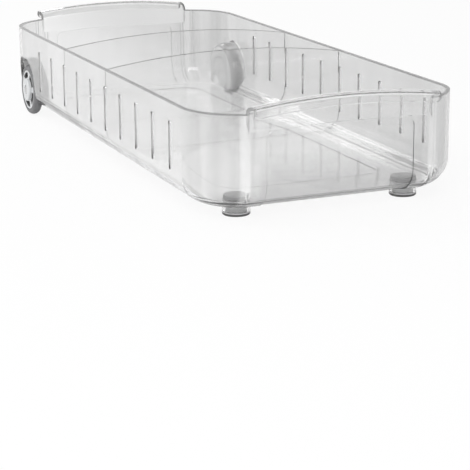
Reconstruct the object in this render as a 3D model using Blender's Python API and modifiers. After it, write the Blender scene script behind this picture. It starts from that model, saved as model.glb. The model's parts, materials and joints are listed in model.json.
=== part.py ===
"""Clear roll-out organizer tray for a refrigerator drawer.

One clear moulded tray stands on two rubber pads at the front and rolls on two wheels at the
rear. Two arched dividers drop into slots in the side walls, and each end wall rises into a
curled pull lip. Metres, +Z up, the front faces -Y, the origin is on the ground under the
middle of the whole object.
"""

import math

import bmesh
import bpy
from mathutils import Matrix, Vector

# Tray shell
TRAY_WIDTH = 0.1670            # outer faces of the side walls
TRAY_LENGTH = 0.3882           # outer faces of the end walls
RIM_HEIGHT = 0.0627            # top of the side walls above the ground
GROUND_CLEARANCE = 0.0065      # ground to the underside of the floor
WALL = 0.0022                  # side walls, end walls and floor
BOTTOM_RADIUS = 0.0160         # outer fillet between floor and walls
CORNER_RADIUS = 0.0360         # upright corners, seen from above
CORNER_SWEEP = math.radians(62)
CORNER_FLAT = 0.0044           # straight run between the corner and the crease
CREASE_RADIUS = 0.0092         # soft upright crease where the end wall turns flat

# Shallow panel pressed into the outer face of each end wall
PANEL_SIDE_INSET = 0.0102      # crease to the panel's side
PANEL_DEPTH = 0.0008
PANEL_TOP_DROP = 0.0110        # rim to the panel's top at its sides
PANEL_ARCH = 0.0022            # how much higher the top is in the middle
PANEL_CORNER_RADIUS = 0.0045

# Shallow panel pressed into the underside of the floor
FLOOR_PANEL_DEPTH = 0.0006
FLOOR_PANEL_SIDE_INSET = 0.0315
FLOOR_PANEL_FRONT_INSET = 0.0460
FLOOR_PANEL_REAR_INSET = 0.0320
FLOOR_PANEL_RADIUS = 0.0140

# Divider slots
SLOT_COUNT = 10
SLOT_PITCH = 0.0285
SLOT_TOP_DROP = 0.0111         # rim to the top of a slot
SLOT_HEIGHT = 0.0286
SLOT_PATTERN_FORWARD = 0.0129  # middle of the pattern, in front of the tray's middle
DIVIDER_SLOTS = {"divider_rear": 3, "divider_front": 6}   # counted from the rear

# Pull lips
LIP_OVERHANG = 0.0013          # past the flat of the end wall at each side
LIP_DEPTH = 0.0125             # inner face of the end wall to the outer face of the skirt
LIP_THICKNESS = 0.0020
LIP_RISE = 0.0050              # crest above the rim at the lip's ends
LIP_ARCH = 0.0040              # how much higher the crest is in the middle
LIP_CURL_HEIGHT = 0.0045
LIP_EDGE_RADIUS = 0.0020       # bend between the lip's top and its skirt
LIP_SKIRT_HEIGHT = 0.0065
LIP_SKIRT_CORNER = 0.0040
LIP_ROOT_DROP = 0.0120         # how far the thickened root runs down the end wall
LIP_ROOT_FULL = 0.0030         # how far below the rim the root has its full thickness
LIP_ROOT_PROUD = 0.0003        # how far the root stands out of each face of the wall

# Dividers
DIVIDER_THICKNESS = 0.0018
DIVIDER_ARCH = 0.0062
DIVIDER_TOP_RADIUS = 0.0015
DIVIDER_SIDE_GAP = 0.0004
DIVIDER_FLOOR_GAP = 0.0003
DIVIDER_LIFT = 0.0030          # free play upwards in the slots
SLOT_SIDE_GAP = 0.0003         # on each face of a divider's tab
TAB_END_GAP = 0.0004           # tab's end inside the outer face of the wall

# Wheels and tyres
AXLE_HEIGHT = 0.0180
AXLE_FROM_REAR = 0.0403        # axle to the outer face of the rear wall
WHEEL_INSET = 0.0050           # tyre's middle plane inside the tray's side face
TYRE_WIDTH = 0.0065
TYRE_THICKNESS = 0.0040
TYRE_SHOULDER = 0.0012         # straight part of the tyre's flank, from the rim outwards
TYRE_LOCK_WIDTH = 0.0020       # rib round the rim that holds the tyre
TYRE_LOCK_HEIGHT = 0.0007
TYRE_GAP = 0.0003
RIM_WIDTH = 0.0060
RIM_THICKNESS = 0.0010
HUB_RADIUS = 0.0082
HUB_OUTER = 0.0048             # hub's outer face from the tyre's middle plane
HUB_INNER = 0.0042             # hub's inner face from the same plane
WEB_OUTER = 0.0028
WEB_INNER = 0.0011
WINDOW_COUNT = 5
WINDOW_SPAN = math.radians(50)
WINDOW_TURN = math.radians(25)  # first window's middle, from the upright
WINDOW_HUB_GAP = 0.0005
WINDOW_RIM_GAP = 0.0004
EDGE_ROUND = 0.0006

# Axle pins
PIN_RADIUS = 0.0020
PIN_HEAD_RADIUS = 0.0030
PIN_HEAD_THICKNESS = 0.0012
PIN_GAP = 0.0003
PIN_SUNK = 0.0002              # head's face inside the hub's outer face
PIN_GRIP = 0.0030              # length held in the tray's boss

# Wheel wells
WELL_CLEARANCE = 0.0034        # tyre's tread to the wall of the well
WELL_SIDE_CLEARANCE = 0.0035   # tyre's inner face to the floor of the well
WELL_WALL = 0.0020
WELL_FLARE = 0.0030            # how much wider the mouth is
WELL_FLARE_DEPTH = 0.0030
WELL_FLOOR_ROUND = 0.0030
AXLE_BOSS_RADIUS = 0.0050
AXLE_BOSS_GAP = 0.0004         # boss to the wheel's hub

# Front feet
FOOT_FROM_SIDE = 0.0299        # middle of each foot inside the side wall's face
FOOT_FROM_FRONT = 0.0262
FOOT_RADIUS = 0.0081
PAD_THICKNESS = 0.0020
PAD_STEM_RADIUS = 0.0060
PAD_EDGE = 0.0005
PAD_GAP = 0.0003
SOCKET_RISE = 0.0024           # top of a pad's socket above the tray's floor
SOCKET_WALL = 0.0012           # round the bore for the stem
SOCKET_ROOF = 0.0012           # above that bore

# Working distances
CUT_OVERRUN = 0.0100           # how far every cutter runs past what it cuts
MERGE_DISTANCE = 0.00001

# Facets and shading
CORNER_STEPS = 8
BOTTOM_STEPS = 5
ARC_STEPS = 4
TURN_STEPS = 30
SMALL_TURN_STEPS = 20
LIP_COLUMNS = 10
LIP_CURL_STEPS = 5
LIP_BEND_STEPS = 3
ARCH_STEPS = 12
SHARP_ANGLE = math.radians(30)

# Places worked out from the sizes above
FLOOR_TOP = GROUND_CLEARANCE + WALL
HALF_WIDTH = TRAY_WIDTH / 2
HALF_LENGTH = TRAY_LENGTH / 2
CREASE_SLOPE = math.tan((math.pi / 2 - CORNER_SWEEP) / 2)
CORNER_RUN = CORNER_FLAT + CREASE_RADIUS * CREASE_SLOPE
CORNER_MIDDLE_X = HALF_WIDTH - CORNER_RADIUS
CORNER_MIDDLE_Y = (HALF_LENGTH - CORNER_RUN * math.cos(CORNER_SWEEP)
                   - CORNER_RADIUS * math.sin(CORNER_SWEEP))
CREASE_X = (CORNER_MIDDLE_X + CORNER_RADIUS * math.cos(CORNER_SWEEP)
            - CORNER_RUN * math.sin(CORNER_SWEEP))
END_FLAT_X = CREASE_X - CREASE_RADIUS * CREASE_SLOPE
LIP_HALF = END_FLAT_X + LIP_OVERHANG
SLOT_WIDTH = DIVIDER_THICKNESS + 2 * SLOT_SIDE_GAP
SLOT_TOP = RIM_HEIGHT - SLOT_TOP_DROP
SLOT_BOTTOM = SLOT_TOP - SLOT_HEIGHT
AXLE_Y = HALF_LENGTH - AXLE_FROM_REAR
WHEEL_X = HALF_WIDTH - WHEEL_INSET
TYRE_RADIUS = AXLE_HEIGHT
RIM_RADIUS = TYRE_RADIUS - TYRE_THICKNESS
WELL_RADIUS = TYRE_RADIUS + WELL_CLEARANCE
WELL_FLOOR_X = WHEEL_X - TYRE_WIDTH / 2 - WELL_SIDE_CLEARANCE
BORE_RADIUS = PIN_RADIUS + PIN_GAP
BOSS_TOP_X = WHEEL_X - HUB_INNER - AXLE_BOSS_GAP
SOCKET_TOP = FLOOR_TOP + SOCKET_RISE
STEM_TOP = SOCKET_TOP - SOCKET_ROOF - PAD_GAP


def add_collection(name, parent):
    """A collection inside another."""
    group = bpy.data.collections.new(name)
    parent.children.link(group)
    return group


def start_scene():
    """Clear the scene and give the parts and the cutters a collection each."""
    for old in list(bpy.data.objects):
        bpy.data.objects.remove(old)
    root = bpy.context.scene.collection
    return add_collection("fridge_drawer_organizer", root), add_collection("cutters", root)


def plastic(name, color, roughness, metallic=0.0, transmission=0.0):
    """A Principled material in the part's own colour."""
    material = bpy.data.materials.new(name)
    material.use_nodes = True
    shader = material.node_tree.nodes["Principled BSDF"]
    shader.inputs["Base Color"].default_value = (*color, 1.0)
    shader.inputs["Roughness"].default_value = roughness
    shader.inputs["Metallic"].default_value = metallic
    shader.inputs["Transmission Weight"].default_value = transmission
    material.diffuse_color = (*color, 1.0)
    return material


def add_object(name, mesh, collection, location=(0, 0, 0), rotation=(0, 0, 0)):
    """Put a mesh in the scene under its name."""
    item = bpy.data.objects.new(name, mesh)
    item.location = location
    item.rotation_euler = rotation
    collection.objects.link(item)
    return item


def add_cutter(name, mesh, collection, location=(0, 0, 0), rotation=(0, 0, 0)):
    """A guide shape that joins or cuts the tray and isn't part of it."""
    item = add_object(name, mesh, collection, location, rotation)
    item.display_type = "WIRE"
    item.hide_render = True
    return item


def combine(target, tool, operation):
    """Cut, join or trim the target with an exact Boolean, by one shape or a collection."""
    step = target.modifiers.new(f"{operation.lower()} {tool.name}", "BOOLEAN")
    step.operation = operation
    step.solver = "EXACT"
    if isinstance(tool, bpy.types.Collection):
        step.operand_type = "COLLECTION"
        step.collection = tool
    else:
        step.object = tool


def mirror(item, middle, axis):
    """A second copy of the shape on the other side of the tray's middle."""
    step = item.modifiers.new("Mirror", "MIRROR")
    step.use_axis = (axis == "X", axis == "Y", False)
    step.mirror_object = middle
    step.use_mirror_merge = False


def angle_shading():
    """Shading that is smooth round curves and breaks at the real edges."""
    tree = bpy.data.node_groups.new("smooth by angle", "GeometryNodeTree")
    tree.interface.new_socket("Geometry", in_out="INPUT", socket_type="NodeSocketGeometry")
    tree.interface.new_socket("Geometry", in_out="OUTPUT", socket_type="NodeSocketGeometry")
    source = tree.nodes.new("NodeGroupInput")
    faces = tree.nodes.new("GeometryNodeSetShadeSmooth")
    edges = tree.nodes.new("GeometryNodeSetShadeSmooth")
    edges.domain = "EDGE"
    angle = tree.nodes.new("GeometryNodeInputMeshEdgeAngle")
    gentle = tree.nodes.new("FunctionNodeCompare")
    gentle.operation = "LESS_THAN"
    gentle.inputs["B"].default_value = SHARP_ANGLE
    result = tree.nodes.new("NodeGroupOutput")
    tree.links.new(angle.outputs["Unsigned Angle"], gentle.inputs["A"])
    tree.links.new(gentle.outputs["Result"], edges.inputs["Shade Smooth"])
    tree.links.new(source.outputs["Geometry"], faces.inputs["Geometry"])
    tree.links.new(faces.outputs["Geometry"], edges.inputs["Geometry"])
    tree.links.new(edges.outputs["Geometry"], result.inputs["Geometry"])
    return tree


def shade_round(item):
    """Shade a finished piece by the angles between its faces."""
    step = item.modifiers.new("Shading", "NODES")
    step.node_group = bpy.data.node_groups.get("smooth by angle") or angle_shading()


def arc(middle, radius, start, end, steps):
    """Points along an arc in a plane, ends included."""
    points = []
    for step in range(steps + 1):
        turn = start + (end - start) * step / steps
        points.append((middle[0] + radius * math.cos(turn), middle[1] + radius * math.sin(turn)))
    return points


def round_corner(before, corner, after, radius, steps):
    """Points of a fillet that replaces one corner of an outline."""
    point = Vector(corner)
    back = (Vector(before) - point).normalized()
    ahead = (Vector(after) - point).normalized()
    half = back.angle(ahead) / 2
    middle = point + (back + ahead).normalized() * radius / math.sin(half)
    first = point + back * radius / math.tan(half) - middle
    last = point + ahead * radius / math.tan(half) - middle
    sweep = first.angle_signed(last)
    points = []
    for step in range(steps + 1):
        turned = Matrix.Rotation(-sweep * step / steps, 2) @ first
        points.append(tuple(middle + turned))
    return points


def finish_mesh(name, shape):
    """Turn the worked shape into a mesh with its faces pointing out."""
    bmesh.ops.recalc_face_normals(shape, faces=shape.faces)
    mesh = bpy.data.meshes.new(name)
    shape.to_mesh(mesh)
    shape.free()
    return mesh


def prism_mesh(name, outlines, place, start, end):
    """Outlines extruded from start to end along the axis that place leaves to it."""
    shape = bmesh.new()
    for points in outlines:
        shape.faces.new([shape.verts.new(place(*point, start)) for point in points])
    grown = bmesh.ops.extrude_face_region(shape, geom=list(shape.faces))
    moved = [item for item in grown["geom"] if isinstance(item, bmesh.types.BMVert)]
    step = Vector(place(0, 0, end)) - Vector(place(0, 0, start))
    bmesh.ops.translate(shape, verts=moved, vec=step)
    return finish_mesh(name, shape)


def cylinder_mesh(name, radius, bottom, top):
    """A plain cylinder between two heights."""
    shape = bmesh.new()
    bmesh.ops.create_cone(shape, cap_ends=True, segments=SMALL_TURN_STEPS,
                          radius1=radius, radius2=radius, depth=top - bottom)
    bmesh.ops.translate(shape, verts=shape.verts, vec=(0, 0, (bottom + top) / 2))
    return finish_mesh(name, shape)


def turn_profile(item, closed, steps=TURN_STEPS):
    """Turn the item's profile a full circle about its own Z axis."""
    step = item.modifiers.new("Screw", "SCREW")
    step.axis = "Z"
    step.angle = 2 * math.pi
    step.steps = steps
    step.render_steps = steps
    step.use_smooth_shade = True
    step.use_merge_vertices = not closed
    step.merge_threshold = MERGE_DISTANCE


def profile_mesh(name, points, closed):
    """The edges of a profile in the XZ plane, to be turned."""
    shape = bmesh.new()
    corners = [shape.verts.new((radius, 0, height)) for radius, height in points]
    for first, second in zip(corners, corners[1:]):
        shape.edges.new((first, second))
    if closed:
        shape.edges.new((corners[-1], corners[0]))
    mesh = bpy.data.meshes.new(name)
    shape.to_mesh(mesh)
    shape.free()
    return mesh


def tray_outline(inset):
    """The tray seen from above: long sides, round corners and creased flat ends."""
    quarter = arc((CORNER_MIDDLE_X, CORNER_MIDDLE_Y), CORNER_RADIUS - inset,
                  0, CORNER_SWEEP, CORNER_STEPS)
    quarter.append((CREASE_X - inset * CREASE_SLOPE, HALF_LENGTH - inset))
    rear = quarter + [(-x, y) for x, y in reversed(quarter)]
    return rear + [(-x, -y) for x, y in rear]


def open_tub(name, inset, top):
    """Floor and walls as an open surface, with the edges that get a fillet marked."""
    floor = GROUND_CLEARANCE + inset
    shape = bmesh.new()
    marks = shape.edges.layers.float.new("bevel_weight_edge")
    base = shape.faces.new([shape.verts.new((x, y, floor)) for x, y in tray_outline(inset)])
    grown = bmesh.ops.extrude_edge_only(shape, edges=list(base.edges))
    for item in grown["geom"]:
        if isinstance(item, bmesh.types.BMVert):
            item.co.z = top
    for edge in base.edges:
        edge[marks] = 1.0
    end_y = HALF_LENGTH - inset - MERGE_DISTANCE
    crease_reach = (CREASE_RADIUS - inset) * CREASE_SLOPE
    for edge in shape.edges:
        first, last = edge.verts
        if first.co.z != last.co.z and abs(first.co.y) > end_y:
            edge[marks] = crease_reach / (BOTTOM_RADIUS - inset)
    bmesh.ops.recalc_face_normals(shape, faces=shape.faces)
    if base.normal.z > 0:
        bmesh.ops.reverse_faces(shape, faces=shape.faces)
    mesh = bpy.data.meshes.new(name)
    shape.to_mesh(mesh)
    shape.free()
    return mesh


def fillet_bottom(item, radius):
    """Round the marked edges between floor and walls."""
    step = item.modifiers.new("Bottom fillet", "BEVEL")
    step.limit_method = "WEIGHT"
    step.offset_type = "OFFSET"
    step.width = radius
    step.segments = BOTTOM_STEPS


def tray_body(parts):
    """The bare shell: an open surface with a filleted bottom, thickened inwards."""
    tray = add_object("tray", open_tub("tray", 0, RIM_HEIGHT), parts)
    fillet_bottom(tray, BOTTOM_RADIUS)
    shell = tray.modifiers.new("Wall", "SOLIDIFY")
    shell.thickness = WALL
    shell.offset = -1
    shell.use_even_offset = True
    return tray


def wall_envelope(cutters):
    """Everything inside the middle of the tray's walls, to trim what joins them."""
    shape = bmesh.new()
    shape.from_mesh(open_tub("wall_surface", WALL / 2, RIM_HEIGHT))
    bmesh.ops.holes_fill(shape, edges=[edge for edge in shape.edges if edge.is_boundary])
    envelope = add_cutter("wall_envelope", finish_mesh("wall_envelope", shape), cutters)
    fillet_bottom(envelope, BOTTOM_RADIUS - WALL / 2)
    return envelope


def side_turned(name, points, group, middle):
    """A shape turned about the axle, heights counted outwards from the tray's middle."""
    mesh = profile_mesh(name, points, closed=False)
    item = add_cutter(name, mesh, group, (0, AXLE_Y, AXLE_HEIGHT), (0, math.pi / 2, 0))
    turn_profile(item, closed=False)
    mirror(item, middle, "X")
    return item


def well_profile(radius, floor_x, round_radius):
    """Half section of a wheel well, from its flared mouth to the edge of its floor."""
    flare_start = HALF_WIDTH - WELL_FLARE_DEPTH
    mouth = HALF_WIDTH + CUT_OVERRUN
    points = [(0, mouth), (radius + WELL_FLARE, mouth)]
    for step in range(ARC_STEPS + 1):
        share = 1 - step / ARC_STEPS
        points.append((radius + WELL_FLARE * share ** 2, flare_start + WELL_FLARE_DEPTH * share))
    points += arc((radius - round_radius, floor_x + round_radius), round_radius,
                  0, -math.pi / 2, ARC_STEPS)
    return points


def add_wells(envelope, joins, cuts, middle):
    """Wheel wells with flared mouths, each with the bored boss that holds its axle pin."""
    block_floor = WELL_FLOOR_X - WELL_WALL
    points = well_profile(WELL_RADIUS + WELL_WALL, block_floor, WELL_FLOOR_ROUND + WELL_WALL)
    block = side_turned("well_blocks", points + [(0, block_floor)], joins, middle)
    combine(block, envelope, "INTERSECT")
    bore_end = BOSS_TOP_X - PIN_GRIP - PIN_GAP
    points = well_profile(WELL_RADIUS, WELL_FLOOR_X, WELL_FLOOR_ROUND)
    points += [(AXLE_BOSS_RADIUS, WELL_FLOOR_X), (AXLE_BOSS_RADIUS, BOSS_TOP_X - EDGE_ROUND),
               (AXLE_BOSS_RADIUS - EDGE_ROUND, BOSS_TOP_X), (BORE_RADIUS, BOSS_TOP_X),
               (BORE_RADIUS, bore_end), (0, bore_end)]
    side_turned("well_pockets", points, cuts, middle)


def lip_section(crest):
    """Middle line of the lip: up the end wall, over the curl, round the bend, down the skirt.

    Each point is the distance outwards from the wall's middle, the height above the rim and
    the share of the full root thickness there.
    """
    root = WALL + 2 * LIP_ROOT_PROUD
    thin = LIP_THICKNESS / root
    reach = LIP_DEPTH - WALL / 2 - LIP_THICKNESS / 2
    top = crest - LIP_THICKNESS / 2
    curl_width = reach - LIP_EDGE_RADIUS
    points = [(0, -LIP_ROOT_DROP, thin), (0, -LIP_ROOT_FULL, 1)]
    for step in range(LIP_CURL_STEPS + 1):
        turn = math.pi / 2 * step / LIP_CURL_STEPS
        outwards = curl_width * (1 - math.cos(turn))
        height = top - LIP_CURL_HEIGHT * (1 - math.sin(turn))
        points.append((outwards, height, 1 + (thin - 1) * step / LIP_CURL_STEPS))
    bend = arc((curl_width, top - LIP_EDGE_RADIUS), LIP_EDGE_RADIUS,
               math.pi / 2, 0, LIP_BEND_STEPS)
    points += [(outwards, height, thin) for outwards, height in bend[1:]]
    return points


def lip_columns():
    """Places across the lip, closer together where the skirt's corners are round."""
    straight = LIP_HALF - LIP_SKIRT_CORNER
    inner = [straight * (2 * step / LIP_COLUMNS - 1) for step in range(LIP_COLUMNS + 1)]
    ends = [straight + LIP_SKIRT_CORNER * math.sin(math.pi / 2 * step / LIP_BEND_STEPS)
            for step in range(1, LIP_BEND_STEPS + 1)]
    return [-place for place in reversed(ends)] + inner + ends


def lip_sheet():
    """The curled lip as an open surface across the rear wall, ready to be thickened."""
    wall_middle = HALF_LENGTH - WALL / 2
    shape = bmesh.new()
    weights = shape.verts.layers.deform.new()
    rows = []
    for x in lip_columns():
        crest = LIP_RISE + LIP_ARCH * (1 - (x / LIP_HALF) ** 2)
        section = lip_section(crest)
        corner = max(0, abs(x) - (LIP_HALF - LIP_SKIRT_CORNER)) / LIP_SKIRT_CORNER
        lost = LIP_SKIRT_CORNER * (1 - math.sqrt(max(0, 1 - corner ** 2)))
        edge = crest - LIP_SKIRT_HEIGHT + lost
        outwards, height, share = section[-1]
        section.append((outwards, min(edge, height - LIP_ROOT_PROUD), share))
        row = []
        for outwards, height, share in section:
            vert = shape.verts.new((x, wall_middle + outwards, RIM_HEIGHT + height))
            vert[weights][0] = share
            row.append(vert)
        rows.append(row)
    for row, following in zip(rows, rows[1:]):
        for step in range(len(row) - 1):
            shape.faces.new((row[step], following[step], following[step + 1], row[step + 1]))
    mesh = bpy.data.meshes.new("lips")
    shape.to_mesh(mesh)
    shape.free()
    return mesh


def add_lips(joins, middle):
    """Curled pull lips, the same at the rear and the front."""
    lips = add_cutter("lips", lip_sheet(), joins)
    lips.vertex_groups.new(name="thickness")
    sheet = lips.modifiers.new("Thickness", "SOLIDIFY")
    sheet.thickness = WALL + 2 * LIP_ROOT_PROUD
    sheet.offset = 0
    sheet.use_even_offset = True
    sheet.vertex_group = "thickness"
    sheet.use_flip_normals = True
    mirror(lips, middle, "Y")


def add_end_panels(cutters, cuts, middle):
    """Shallow panels in the end walls, arched on top and running down over the fillet."""
    half = END_FLAT_X - PANEL_SIDE_INSET
    side_top = RIM_HEIGHT - PANEL_TOP_DROP
    top = []
    for step in range(ARCH_STEPS + 1):
        x = (half - PANEL_CORNER_RADIUS) * (1 - 2 * step / ARCH_STEPS)
        top.append((x, side_top + PANEL_ARCH * (1 - (x / half) ** 2)))
    right = arc((top[0][0], top[0][1] - PANEL_CORNER_RADIUS), PANEL_CORNER_RADIUS,
                0, math.pi / 2, ARC_STEPS)
    left = [(-x, z) for x, z in reversed(right)]
    outline = [(half, -CUT_OVERRUN)] + right + top[1:-1] + left + [(-half, -CUT_OVERRUN)]
    face = prism_mesh("end_panels", [outline], lambda x, z, y: (x, y, z),
                      HALF_LENGTH - BOTTOM_RADIUS - CUT_OVERRUN, HALF_LENGTH + CUT_OVERRUN)
    panels = add_cutter("end_panels", face, cuts)
    flank = arc((HALF_LENGTH - BOTTOM_RADIUS, GROUND_CLEARANCE + BOTTOM_RADIUS),
                BOTTOM_RADIUS - PANEL_DEPTH, 0, -math.pi / 2, 2 * BOTTOM_STEPS)
    beyond = HALF_LENGTH + 2 * CUT_OVERRUN
    depth = [(HALF_LENGTH - PANEL_DEPTH, RIM_HEIGHT + CUT_OVERRUN)] + flank
    depth += [(flank[-1][0], -2 * CUT_OVERRUN), (beyond, -2 * CUT_OVERRUN),
              (beyond, RIM_HEIGHT + CUT_OVERRUN)]
    layer = prism_mesh("panel_depth", [depth], lambda y, z, x: (x, y, z),
                       -HALF_WIDTH, HALF_WIDTH)
    combine(panels, add_cutter("panel_depth", layer, cutters), "INTERSECT")
    mirror(panels, middle, "Y")


def add_floor_panel(cuts):
    """A shallow panel in the underside of the floor, which shows through as a line."""
    x = HALF_WIDTH - FLOOR_PANEL_SIDE_INSET
    rear = HALF_LENGTH - FLOOR_PANEL_REAR_INSET
    front = FLOOR_PANEL_FRONT_INSET - HALF_LENGTH
    corners = [(x, front), (x, rear), (-x, rear), (-x, front)]
    outline = []
    for step, corner in enumerate(corners):
        outline += round_corner(corners[step - 1], corner, corners[(step + 1) % len(corners)],
                                FLOOR_PANEL_RADIUS, ARC_STEPS)
    mesh = prism_mesh("floor_panel", [outline], lambda x, y, z: (x, y, z),
                      -CUT_OVERRUN, GROUND_CLEARANCE + FLOOR_PANEL_DEPTH)
    add_cutter("floor_panel", mesh, cuts)


def add_slots(cuts):
    """Ten round-ended slots through both side walls, cut by bars that cross the tray."""
    radius = SLOT_WIDTH / 2
    outline = arc((0, SLOT_TOP - radius), radius, 0, math.pi, ARC_STEPS)
    outline += arc((0, SLOT_BOTTOM + radius), radius, math.pi, 2 * math.pi, ARC_STEPS)
    reach = HALF_WIDTH + CUT_OVERRUN
    mesh = prism_mesh("slots", [outline], lambda y, z, x: (x, y, z), -reach, reach)
    slots = add_cutter("slots", mesh, cuts, (0, slot_y(1), 0))
    row = slots.modifiers.new("Row", "ARRAY")
    row.count = SLOT_COUNT
    row.use_relative_offset = False
    row.use_constant_offset = True
    row.constant_offset_displace = (0, -SLOT_PITCH, 0)


def slot_y(number):
    """Where a slot is along the tray, counted from the rear."""
    return -SLOT_PATTERN_FORWARD + SLOT_PITCH * ((SLOT_COUNT + 1) / 2 - number)


def add_foot_sockets(joins, cuts, middle):
    """Sockets in the front corners of the floor: a boss below it, a lower disc above it and
    a blind bore for the pad's stem."""
    place = (HALF_WIDTH - FOOT_FROM_SIDE, FOOT_FROM_FRONT - HALF_LENGTH, 0)
    bore_radius = PAD_STEM_RADIUS + PAD_GAP
    disc_radius = bore_radius + SOCKET_WALL
    step = GROUND_CLEARANCE + WALL / 2
    points = [
        (0, SOCKET_TOP), (disc_radius - PAD_EDGE, SOCKET_TOP),
        (disc_radius, SOCKET_TOP - PAD_EDGE), (disc_radius, step), (FOOT_RADIUS, step),
        (FOOT_RADIUS, PAD_THICKNESS + PAD_GAP), (0, PAD_THICKNESS + PAD_GAP)]
    sockets = add_cutter("foot_sockets", profile_mesh("foot_sockets", points, closed=False),
                         joins, place)
    turn_profile(sockets, False, SMALL_TURN_STEPS)
    bore = cylinder_mesh("foot_bores", bore_radius, -CUT_OVERRUN, STEM_TOP + PAD_GAP)
    mirror(sockets, middle, "X")
    mirror(add_cutter("foot_bores", bore, cuts, place), middle, "X")


def make_tray(parts, cutters, middle):
    """The whole clear moulding."""
    tray = tray_body(parts)
    joins = add_collection("tray_joins", cutters)
    cuts = add_collection("tray_cuts", cutters)
    add_wells(wall_envelope(cutters), joins, cuts, middle)
    add_lips(joins, middle)
    add_foot_sockets(joins, cuts, middle)
    add_end_panels(cutters, cuts, middle)
    add_floor_panel(cuts)
    add_slots(cuts)
    combine(tray, joins, "UNION")
    combine(tray, cuts, "DIFFERENCE")
    shade_round(tray)
    tray.data.materials.append(plastic("clear plastic", (0.86, 0.88, 0.88), 0.05,
                                       transmission=1.0))


def divider_outline():
    """Divider seen from the front, heights counted from the ground."""
    half = HALF_WIDTH - WALL - DIVIDER_SIDE_GAP
    bottom = FLOOR_TOP + DIVIDER_FLOOR_GAP
    radius = BOTTOM_RADIUS - WALL - DIVIDER_FLOOR_GAP
    tab_end = HALF_WIDTH - TAB_END_GAP
    tab_bottom = SLOT_BOTTOM + SLOT_WIDTH / 2
    tab_top = SLOT_TOP - SLOT_WIDTH / 2 - DIVIDER_LIFT
    side = arc((half - radius, bottom + radius), radius, -math.pi / 2, 0, ARC_STEPS)
    side += [(half, tab_bottom), (tab_end, tab_bottom), (tab_end, tab_top), (half, tab_top)]
    side += arc((half - DIVIDER_TOP_RADIUS, RIM_HEIGHT - DIVIDER_TOP_RADIUS),
                DIVIDER_TOP_RADIUS, 0, math.pi / 2, ARC_STEPS)
    last = side[-1][0]
    top = []
    for step in range(1, ARCH_STEPS):
        x = last * (1 - 2 * step / ARCH_STEPS)
        top.append((x, RIM_HEIGHT + DIVIDER_ARCH * (1 - (x / last) ** 2)))
    return side + top + [(-x, z) for x, z in reversed(side)]


def plate_curve(name, points, thickness):
    """A flat filled outline of even thickness."""
    curve = bpy.data.curves.new(name, "CURVE")
    curve.dimensions = "2D"
    curve.fill_mode = "BOTH"
    curve.extrude = thickness / 2
    outline = curve.splines.new("POLY")
    outline.points.add(len(points) - 1)
    for corner, (x, y) in zip(outline.points, points):
        corner.co = (x, y, 0, 1)
    outline.use_cyclic_u = True
    return curve


def make_dividers(parts):
    """Two arched divider plates whose side tabs reach into the slots."""
    clear = plastic("clear divider plastic", (0.86, 0.88, 0.88), 0.05, transmission=1.0)
    outline = [(x, z - FLOOR_TOP) for x, z in divider_outline()]
    for name, slot in DIVIDER_SLOTS.items():
        plate = add_object(name, plate_curve(name, outline, DIVIDER_THICKNESS), parts,
                           (0, slot_y(slot), FLOOR_TOP), (math.pi / 2, 0, 0))
        plate.data.materials.append(clear)


def wheel_profile():
    """Half section of the wheel, heights counted outwards from the tyre's middle plane."""
    rim_inner = RIM_RADIUS - RIM_THICKNESS
    rim_half = RIM_WIDTH / 2
    lock_half = TYRE_LOCK_WIDTH / 2
    lock_radius = RIM_RADIUS + TYRE_LOCK_HEIGHT
    sink_radius = PIN_HEAD_RADIUS + PIN_GAP
    sink_floor = HUB_OUTER - PIN_SUNK - PIN_HEAD_THICKNESS - PIN_GAP
    return [
        (sink_radius, HUB_OUTER), (HUB_RADIUS - EDGE_ROUND, HUB_OUTER),
        (HUB_RADIUS, HUB_OUTER - EDGE_ROUND), (HUB_RADIUS, WEB_OUTER),
        (rim_inner, WEB_OUTER), (rim_inner, rim_half), (RIM_RADIUS, rim_half),
        (RIM_RADIUS, lock_half), (lock_radius, lock_half), (lock_radius, -lock_half),
        (RIM_RADIUS, -lock_half), (RIM_RADIUS, -rim_half), (rim_inner, -rim_half),
        (rim_inner, -WEB_INNER), (HUB_RADIUS, -WEB_INNER), (HUB_RADIUS, -HUB_INNER),
        (BORE_RADIUS, -HUB_INNER), (BORE_RADIUS, sink_floor), (sink_radius, sink_floor)]


def window_cutter(name, cutters, owner):
    """Five arc-shaped windows through the web, riding with the wheel that they cut."""
    inner = HUB_RADIUS + WINDOW_HUB_GAP
    outer = RIM_RADIUS - RIM_THICKNESS - WINDOW_RIM_GAP
    outlines = []
    for number in range(WINDOW_COUNT):
        centre = WINDOW_TURN + 2 * math.pi * number / WINDOW_COUNT
        start = centre - WINDOW_SPAN / 2
        end = centre + WINDOW_SPAN / 2
        outlines.append(arc((0, 0), outer, start, end, ARC_STEPS)
                        + arc((0, 0), inner, end, start, ARC_STEPS))
    mesh = prism_mesh(name, outlines, lambda x, y, z: (x, y, z), -CUT_OVERRUN, CUT_OVERRUN)
    cutter = add_cutter(name, mesh, cutters)
    cutter.parent = owner
    return cutter


def tyre_profile():
    """Half section of the tyre: a crowned tread and a groove over the rim's lock."""
    half = TYRE_WIDTH / 2
    inner = RIM_RADIUS + TYRE_GAP
    shoulder = inner + TYRE_SHOULDER
    groove = inner + TYRE_LOCK_HEIGHT
    groove_half = TYRE_LOCK_WIDTH / 2 + TYRE_GAP
    points = [(inner, half)]
    for step in range(2 * ARC_STEPS + 1):
        turn = math.pi / 2 - math.pi * step / (2 * ARC_STEPS)
        points.append((shoulder + (TYRE_RADIUS - shoulder) * math.cos(turn),
                       half * math.sin(turn)))
    points += [(inner, -half), (inner, -groove_half), (groove, -groove_half),
               (groove, groove_half), (inner, groove_half)]
    return points


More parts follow.
